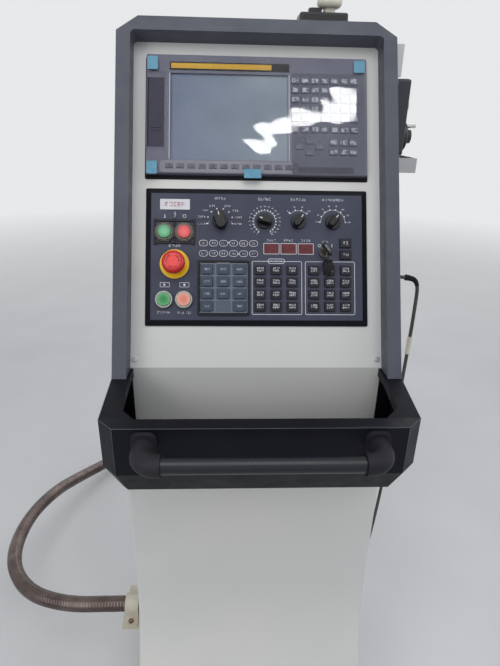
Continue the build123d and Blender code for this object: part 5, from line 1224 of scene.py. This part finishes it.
# %% Pointers and arrows
for name, across, angle, reach in (("mode_knob", MODE, 105, 14.5), ("feed_knob", FEED, 165, 11.5),
                                   ("rapid_knob", RAPID, 52, 11.5), ("spindle_knob", SPINDLE, 52, 11.5)):
    top = out_of(FACE, name)
    way = Vector((cos(radians(angle)), sin(radians(angle))))
    near, far = (Vector((across, KNOB_ROW)) + way * share * reach for share in (0.42, 0.9))
    shape = bmesh.new()
    stroke(shape, near, far, 1.5, top, top + INK)
    settle("pointer_of_" + name, shape, white_ink, body=name)


def on_head(radius, angle):
    """A place on the emergency head; the angle is in degrees, clockwise from straight up."""
    return (HEAD_CENTRE[0] + radius * sin(radians(angle)), HEAD_CENTRE[1] + radius * cos(radians(angle)))


low = out_of(FACE, "estop_head")
high = low + 0.1
shape = bmesh.new()
for first in (20, 140, 260):
    sweep(shape, HEAD_CENTRE, 11.0, 1.5, first, first + 66, low, high, 12)
    for radius in (8.8, 13.2):
        stroke(shape, on_head(radius, first + 62), on_head(11, first + 74), 1.1, low, high)
sweep(shape, HEAD_CENTRE, 15.2, 0.7, 0, 360, low, high, 60)
arrow_ink = surface("arrow_ink", tint(150, 18, 26), tint(138, 16, 22), 0.45, tone_scale=60)[0]
settle("estop_arrows", shape, arrow_ink, body="estop_head")

# %% [markdown]
# ## Legends on the keypads
# The three keypads share one pitch, so one run of the print tree covers a block of keys: two
# lines on every key of the middle and right pads, one on the left pad. The left pad has a place
# without a key in its bottom row, so that row takes two short runs, and a grid of lighter lines
# lies between its keys.

# %% Keypad legends
PAD_PITCH = (28.7, 21.9)
flat_face = FACE.inverted()
key_places = [flat_face @ vertex.co for vertex in parts["keypad_keys"].data.vertices]
plain_top = max(place.z for place in key_places if place.x > 0.0) / MM
left_top = max(place.z for place in key_places if place.x < -0.02) / MM
print("key tops:", round(plain_top, 2), round(left_top, 2))
for name, across, seed in (("middle_pad_legends", 33.6, 61), ("right_pad_legends", 130, 67)):
    legend(name, (across, 142.4), 4, 2.7, 3.1, out=plain_top, groups=(3, 4), group_pitch=PAD_PITCH,
           lines=2, line_pitch=4.4, seed=seed, line_width=0.6)
for name, across, up, groups, seed in (
        ("left_pad_legends", -61, 152.65, (3, 3), 71), ("left_pad_legend_a", -89.7, 108.85, (1, 1), 73),
        ("left_pad_legend_b", -32.3, 108.85, (1, 1), 74)):
    legend(name, (across, up), 3, 3.0, 3.2, out=left_top, groups=groups, group_pitch=PAD_PITCH,
           seed=seed, ink=pale_ink, line_width=0.6)
for key, up, seed in (("f_key_1", 223.7, 81), ("f_key_2", 202.4, 82)):
    legend(key + "_legend", (158.8, up), 2, 5.0, 5.4, out=out_of(FACE, key), seed=seed,
           body=key, line_width=0.7)

PAD_FLOOR = 10.0
shape = bmesh.new()
for column in (-1, 0, 1, 2):
    across = -61 + (column - 0.5) * PAD_PITCH[0]
    stroke(shape, (across, 98.6), (across, 184.6), 0.9, PAD_FLOOR, PAD_FLOOR + 0.15)
for row in range(5):
    level = 141.7 + (row - 2) * PAD_PITCH[1]
    stroke(shape, (-103, level), (-18, level), 0.9, PAD_FLOOR + 0.15, PAD_FLOOR + 0.25)
settle("left_pad_grid", shape, grey_ink)
plates("left_pad_light_bar", [(22, 2.2, 0.8, -61, 185.9, PAD_FLOOR + 0.25, PAD_FLOOR + 0.6, 0.0)],
       soft_strip_plastic)

# %% [markdown]
# ## The screen unit's details
# A yellow strip with a black surround crosses the top of the bezel, and a bare plate covers the
# sockets below the keys. Thin pale strips down the sides of the display are painted highlights,
# where the window's bevel catches the light, and the soft keys sit on a lighter rounded strip. A
# black band round the bezel's foot is a rubber seal, and it is also painted shade under the unit.

# %% Strips and fields on the bezel
BEZEL = 12.0
strip_yellow = surface("strip_yellow", tint(218, 172, 12), tint(204, 158, 10), 0.45, tone_scale=20,
                       Specular_IOR_Level=0.3)[0]
# These pale strips are painted highlights of the window's bevel edges.
display_edge_painted_highlight = surface("display_edge_painted_highlight", tint(196, 200, 206), tint(184, 188, 196), 0.3, tone_scale=50)[0]
for name, steps, finish, slot, rows in (
        ("strip_surround", 2, seal_rubber, "knob_black",
         [(216, 15.5, 1.0, -50, 543, BEZEL, BEZEL + 0.3, 0.1)]),
        ("yellow_strip", 2, strip_yellow, "collar_yellow",
         [(181, 9.6, 0.6, -65.2, 543.4, BEZEL + 0.3, BEZEL + 0.5, 0.0)]),
        ("key_field", 2, key_field_plastic, "bezel_grey",
         [(133, 186, 2.0, 129, 441.5, BEZEL, BEZEL + 0.12, 0.0)]),
        ("soft_key_strip", 4, soft_strip_plastic, "bezel_grey",
         [(250, 22, 8.0, -50.4, 359.5, BEZEL, BEZEL + 0.12, 0.0)]),
        ("socket_cover", 2, card_door_plastic, "bezel_grey",
         [(100, 11.5, 1.0, 124, 355.6, BEZEL + 0.12, BEZEL + 0.5, 0.1)]),
        ("display_edges", 1, display_edge_painted_highlight, "bezel_grey",
         [(1.4, 158, 0.4, across, 451, BEZEL, BEZEL + 0.3, 0.0) for across in (-158.2, 57.4)]),
        # The black band round the bezel's foot is a rubber seal, and its darkness below the unit is also
        # painted shade.
        ("screen_seal", 4, seal_rubber, "knob_black", [(405, 226, 3, 0, 452.2, 0.0, 1.6, 0.5)])):
    plates(name, rows, finish, steps=steps)

# %% [markdown]
# ## Legends on the screen's keys
# The data keys are grey with white marks, and the soft keys under the display carry small dark
# ones. Each block of keys is again one run of the print tree, at the keys' own pitch.

# %% Screen key legends
KEY_TOP = out_of(FACE, "screen_keys")
DATA_PITCH = (17.9, 17.5)
for name, across, up, height, groups, pitch, ink, letters, strokes, letter_pitch, width, seed in (
        ("data_key_legends", 122, 485, 6.0, (7, 5), DATA_PITCH, white_ink, 2, 5, 5.6, 4.6, 91),
        ("data_key_legends_low", 122, 430, 6.0, (7, 1), DATA_PITCH, white_ink, 2, 5, 5.6, 4.6, 95),
        ("page_key_legends", 156, 398, 5.6, (3, 2), DATA_PITCH, white_ink, 2, 4, 5.6, 4.6, 97),
        ("soft_key_legends", -50.4, 360, 5.4, (12, 1), (19.6, 10), dark_ink, 1, 5, 6.0, 5.0, 99)):
    legend(name, (across, up), letters, height, letter_pitch, out=KEY_TOP, groups=groups,
           group_pitch=pitch, seed=seed, ink=ink, line_width=1.1, strokes=strokes,
           width=width)

# %% [markdown]
# ## Protective film and its blue tabs
# A clear film still covers the screen. It lies loosely, with long waves that catch the light,
# and four pieces of blue tape hold it along its edges. The film is cut out round the
# card door on the left, so that the door can open. Clear film is a mix of see-through and glossy,
# with the Fresnel node deciding how much of each the eye gets.

# %% Make the film
COLUMNS, ROWS = 80, 46
FILM_LEFT, FILM_LOW = -198.5, 348.0
FILM_WIDTH, FILM_HEIGHT = 397.0, 215.0
FILM_OUT, WAVE_HEIGHT, EDGE_REACH = 14.9, 0.45, 18


def on_film(column, row):
    """Across and up at a place on the film's grid."""
    return FILM_LEFT + FILM_WIDTH * column / COLUMNS, FILM_LOW + FILM_HEIGHT * row / ROWS


shape = bmesh.new()
grid = {}
for column in range(COLUMNS + 1):
    for row in range(ROWS + 1):
        across, up = on_film(column, row)
        edge = min(across - FILM_LEFT, -FILM_LEFT - across, up - FILM_LOW, FILM_LOW + FILM_HEIGHT - up)
        broad = noise.noise(Vector((across / 95 + up / 160, up / 42, 3.7)))
        fine = noise.noise(Vector((across / 30, up / 22 + across / 60, 8.1)))
        lift = WAVE_HEIGHT * min(edge / EDGE_REACH, 1.0) * (1 + broad + 0.45 * fine)
        grid[column, row] = shape.verts.new((across * MM, up * MM, (FILM_OUT + lift) * MM))
for column in range(COLUMNS):
    for row in range(ROWS):
        across, up = on_film(column + 0.5, row + 0.5)
        if not (across < -163 and 386 < up < 528):
            corners = ((column, row), (column + 1, row), (column + 1, row + 1), (column, row + 1))
            shape.faces.new([grid[corner] for corner in corners])
loose = [vertex for vertex in shape.verts if not vertex.link_faces]
bmesh.ops.delete(shape, geom=loose, context="VERTS")

film_clear, tree, shader = new_finish("film_clear", Roughness=0.4)
gloss = node(tree, "ShaderNodeBsdfGlossy", {"Color": (1, 1, 1, 1), "Roughness": 0.03})
haze = node(tree, "ShaderNodeBsdfDiffuse", {"Color": (0.8, 0.82, 0.86, 1)})
clear = node(tree, "ShaderNodeBsdfTransparent", {"Color": (0.97, 0.98, 1.0, 1)})
misty = levels(tree, cloud(tree, 9, 4.0, distortion=0.8), 0.4, 0.8, 0.0, 0.07)
body_of_film = node(tree, "ShaderNodeMixShader", {0: misty, 1: clear.outputs[0], 2: haze.outputs[0]})
mirror = node(tree, "ShaderNodeFresnel", {"IOR": 1.22})
film_mix = node(tree, "ShaderNodeMixShader", {0: mirror.outputs[0], 1: body_of_film.outputs[0],
                                              2: gloss.outputs[0]})
tree.links.new(film_mix.outputs[0], tree.nodes["Material Output"].inputs["Surface"])
film = settle("screen_film", shape, film_clear, smooth=True)
lit_by_window = bpy.data.collections.new("lit_by_window")
lit_by_window.objects.link(film)
window_glare.light_linking.receiver_collection = lit_by_window

tab_tape = surface("tab_tape", tint(92, 150, 176), tint(80, 138, 168), 0.5, tone_scale=60,
                   Sheen_Weight=0.2)[0]
plates("film_tabs", [
    (right - left, high - low, 1.2, (left + right) / 2, (low + high) / 2, 16.9, 17.2, 0.0)
    for left, right, low, high in ((-197.5, -178.5, 533, 557), (175, 195, 535, 557),
                                   (-197.5, -179, 343.5, 366.5), (-24.5, 6.5, 338.0, 354.5))],
    tab_tape)

# %% [markdown]
# ## Screws on the white face
# Small socket screws hold the face near its lower corners. One screw is a lathe shape with a
# six-sided recess, and a tree repeats it over a grid, each copy turned by chance.

# %% The screw and its grid tree
SIDES = 24
ROUND = [2 * pi * k / SIDES for k in range(SIDES)]
shape = bmesh.new()
rings = []
for radius, out in ((0.6, 0.0), (3.0, 0.0), (3.0, 1.3), (2.5, 1.9), (1.9, 2.1)):
    rings.append(ring_of(shape, [(radius * cos(angle), radius * sin(angle)) for angle in ROUND], out))
reaches = [1.25 / cos((angle + pi / 6) % (pi / 3) - pi / 6) for angle in ROUND]
hexagon = [(reach * cos(angle), reach * sin(angle)) for reach, angle in zip(reaches, ROUND)]
for out in (2.1, 0.9):
    rings.append(ring_of(shape, hexagon, out))
stack(shape, rings)
screw_mesh = bpy.data.meshes.new("socket_screw")
bmesh.ops.recalc_face_normals(shape, faces=shape.faces)
shape.to_mesh(screw_mesh)
shape.free()
screw = in_scene("socket_screw", screw_mesh)

screw_tree, sizes, result = new_tree("screws_on_a_grid", {
    "Screw": ("Object", None), "Across": ("Int", 2), "Up": ("Int", 1), "Pitch Across": ("Float", 0.1),
    "Pitch Up": ("Float", 0.1), "Size": ("Float", 1.0), "Finish": ("Material", None)})
number = Amount(node(screw_tree, "GeometryNodeInputIndex").outputs[0])
row = whole(number, sizes["Across"])
column = number - row * sizes["Across"]
place = node(screw_tree, "ShaderNodeCombineXYZ", {
    "X": centred(column, sizes["Across"], sizes["Pitch Across"]),
    "Y": centred(row, sizes["Up"], sizes["Pitch Up"])}).outputs[0]
points = node(screw_tree, "GeometryNodePoints", {
    "Count": sizes["Across"] * sizes["Up"], "Position": place}).outputs[0]
one = node(screw_tree, "GeometryNodeObjectInfo", {
    "Object": sizes["Screw"], "As Instance": True}).outputs["Geometry"]
spun = node(screw_tree, "FunctionNodeRandomValue", {2: 0.0, 3: 1.0, "Seed": 4}, data_type="FLOAT")
turn = node(screw_tree, "ShaderNodeCombineXYZ", {"Z": spun.outputs[1]}).outputs[0]
turn = node(screw_tree, "FunctionNodeEulerToRotation", {"Euler": turn}).outputs[0]
screws = node(screw_tree, "GeometryNodeInstanceOnPoints", {
    "Points": points, "Instance": one, "Rotation": turn, "Scale": sizes["Size"]}).outputs[0]
finish_tree(screw_tree, screws, sizes, result)

grown("face_screws", screw_tree, {
    "Screw": screw, "Across": 2, "Up": 1, "Pitch Across": 0.434, "Pitch Up": 0.010, "Size": 1.0},
    seal_rubber, on=FACE @ Matrix.Translation(Vector((0, 15, 0)) * MM))
bpy.data.objects.remove(screw)

# %% [markdown]
# ## Linings in the tray
# The tray's sides carry on as black flanges against the column, and that is how the tray is held.
# They narrow the white that can be seen between them. Two thin flat plates on the column's front
# are enough.

# %% Flanges inside the tray
plates("tray_flanges", [(28.4, 143, 0.6, side * 234.6, 825.5, 0.1, 1.4, 0.4) for side in (-1, 1)],
       tray_paint, on=FRONT, steps=1)

# %% [markdown]
# ## The bright edges of the tray
# Where a painted sheet is bent, its rounded edge catches the light as a fine line. A thin bead
# follows the tray's upper front edge and its two cut corners, and its pale blue-grey colour is a
# painted highlight; the round bead also catches real light. It is drawn along a few corner points
# with a small ring at each, set across the mean of the two directions.

# %% Beads along the edges


def bead(shape, corners, radius, sides=6):
    """A thin round bead along straight runs between corner points, in millimetres."""
    corners = [Vector(place) for place in corners]
    rings = []
    for index, place in enumerate(corners):
        before = (place - corners[max(index - 1, 0)]).normalized()
        after = (corners[min(index + 1, len(corners) - 1)] - place).normalized()
        way = (before + after).normalized()
        if rings:
            first = (first - first.dot(way) * way).normalized()
        else:
            first = way.orthogonal().normalized()
        second = way.cross(first)
        rings.append([shape.verts.new((place + radius * (
            cos(2 * pi * k / sides) * first + sin(2 * pi * k / sides) * second)) * MM) for k in range(sides)])
    stack(shape, rings)


# The bead's pale colour is a painted highlight along the tray's bent edges.
tray_edge_painted_highlight = surface("tray_edge_painted_highlight", tint(74, 78, 90), tint(60, 64, 76), 0.4, tone_scale=30)[0]
TRAY_RIM, BAND_FOOT = 884, 799
SIDE_EDGE, FRONT_EDGE = (249.7, -196.8), (224.9, -221.8)
shape = bmesh.new()
bead(shape, ((-249.7, -95, 898.2), (-SIDE_EDGE[0], SIDE_EDGE[1], TRAY_RIM),
             (-FRONT_EDGE[0], FRONT_EDGE[1], TRAY_RIM), (*FRONT_EDGE, TRAY_RIM),
             (*SIDE_EDGE, TRAY_RIM), (249.7, -95, 898.2)), 0.55)
for side in (-1, 1):
    for across, back in (SIDE_EDGE, FRONT_EDGE):
        bead(shape, ((side * across, back, TRAY_RIM), (side * across, back, BAND_FOOT)), 0.5)
settle("tray_edges", shape, tray_edge_painted_highlight, on=UPRIGHT, smooth=True)

# %% [markdown]
# ## What the pendant hangs on
# A white hanger of folded sheet stands out of the hood above the pendant, and an open pocket below
# it keeps the pendant from swinging. The pocket has a square opening in its bottom, where the
# lead passes.

# %% Hanger and pocket


def sheet_box(shape, low, high):
    """A small closed box between two corners, in millimetres."""
    made = bmesh.ops.create_cube(shape, size=1.0)["verts"]
    middle = (Vector(low) + Vector(high)) / 2
    size = Vector(high) - Vector(low)
    for vertex in made:
        vertex.co = Vector((vertex.co[axis] * size[axis] + middle[axis] for axis in range(3))) * MM


for name, boxes, edge, segments, finish, slot in (
        ("pendant_hanger", (
            ((250, 196, 1386), (272.5, 198, 1440)), ((250, 198, 1438), (272.5, 240, 1440)),
            ((270.5, 198, 1386), (272.5, 240, 1438))), 0.5, 2, white_paint, "white_paint"),
        ("pendant_pocket", (
            ((250, 196, 1213), (326, 197.6, 1241)), ((250, 292.4, 1213), (326, 294, 1241)),
            ((324.4, 197.6, 1213), (326, 292.4, 1241)), ((250, 197.6, 1213), (262, 292.4, 1214.6)),
            ((288, 197.6, 1213), (324.4, 292.4, 1214.6)), ((262, 197.6, 1213), (288, 231, 1214.6)),
            ((262, 258, 1213), (288, 292.4, 1214.6)), ((250, 197.6, 1214.6), (251.6, 292.4, 1241))),
         0.3, 1, housing_plate, "holder_steel")):
    shape = bmesh.new()
    for low, high in boxes:
        sheet_box(shape, low, high)
    bmesh.ops.bevel(shape, geom=shape.edges[:], offset=edge * MM, segments=segments, affect="EDGES")
    settle(name, shape, finish, on=UPRIGHT)

# %% [markdown]
# ## The hand pendant's dial
# The handwheel is graduated in a hundred steps with a longer mark at every tenth, and the two
# small selectors have a few marks each. The marks tree prints the wheel's scale, on the wheel's
# own body, so the scale turns with it.

# %% Marks on the pendant
WHEEL_OUT, SELECTOR_OUT = 308.3 - 250.0, 47.9
PENDANT_BACK = 245
wheel_seat = RIGHT @ Matrix.Translation(Vector((PENDANT_BACK, 1280, WHEEL_OUT)) * MM)
grown("wheel_graduations", marks_tree, {
    "Count": 100, "First Angle": 0.0, "Step": 2 * pi / 100, "Radius": 0.0222, "Width": 0.00035,
    "Length": 0.0016, "Long Every": 10, "Long Length": 0.0030, "Thickness": 0.0001},
    white_ink, "hand_wheel", wheel_seat)
numbers("wheel_numbers", [
    (value, 19.0 * sin(radians(3.6 * value)), 19.0 * cos(radians(3.6 * value)), -3.6 * value)
    for value in range(0, 100, 10)], 2.6, 0, body="hand_wheel", on=wheel_seat)
for name, up, radius, count, spread in (("axis_marks", 1362, 12.2, 5, 180),
                                        ("scale_marks", 1337, 9.2, 3, 120)):
    grown(name, marks_tree, {
        "Count": count, "First Angle": radians(-spread / 2), "Step": radians(spread / (count - 1)),
        "Radius": radius * MM, "Width": 0.0008, "Length": 0.002, "Thickness": 0.0001}, dark_ink,
        on=RIGHT @ Matrix.Translation(Vector((PENDANT_BACK, up, SELECTOR_OUT)) * MM))
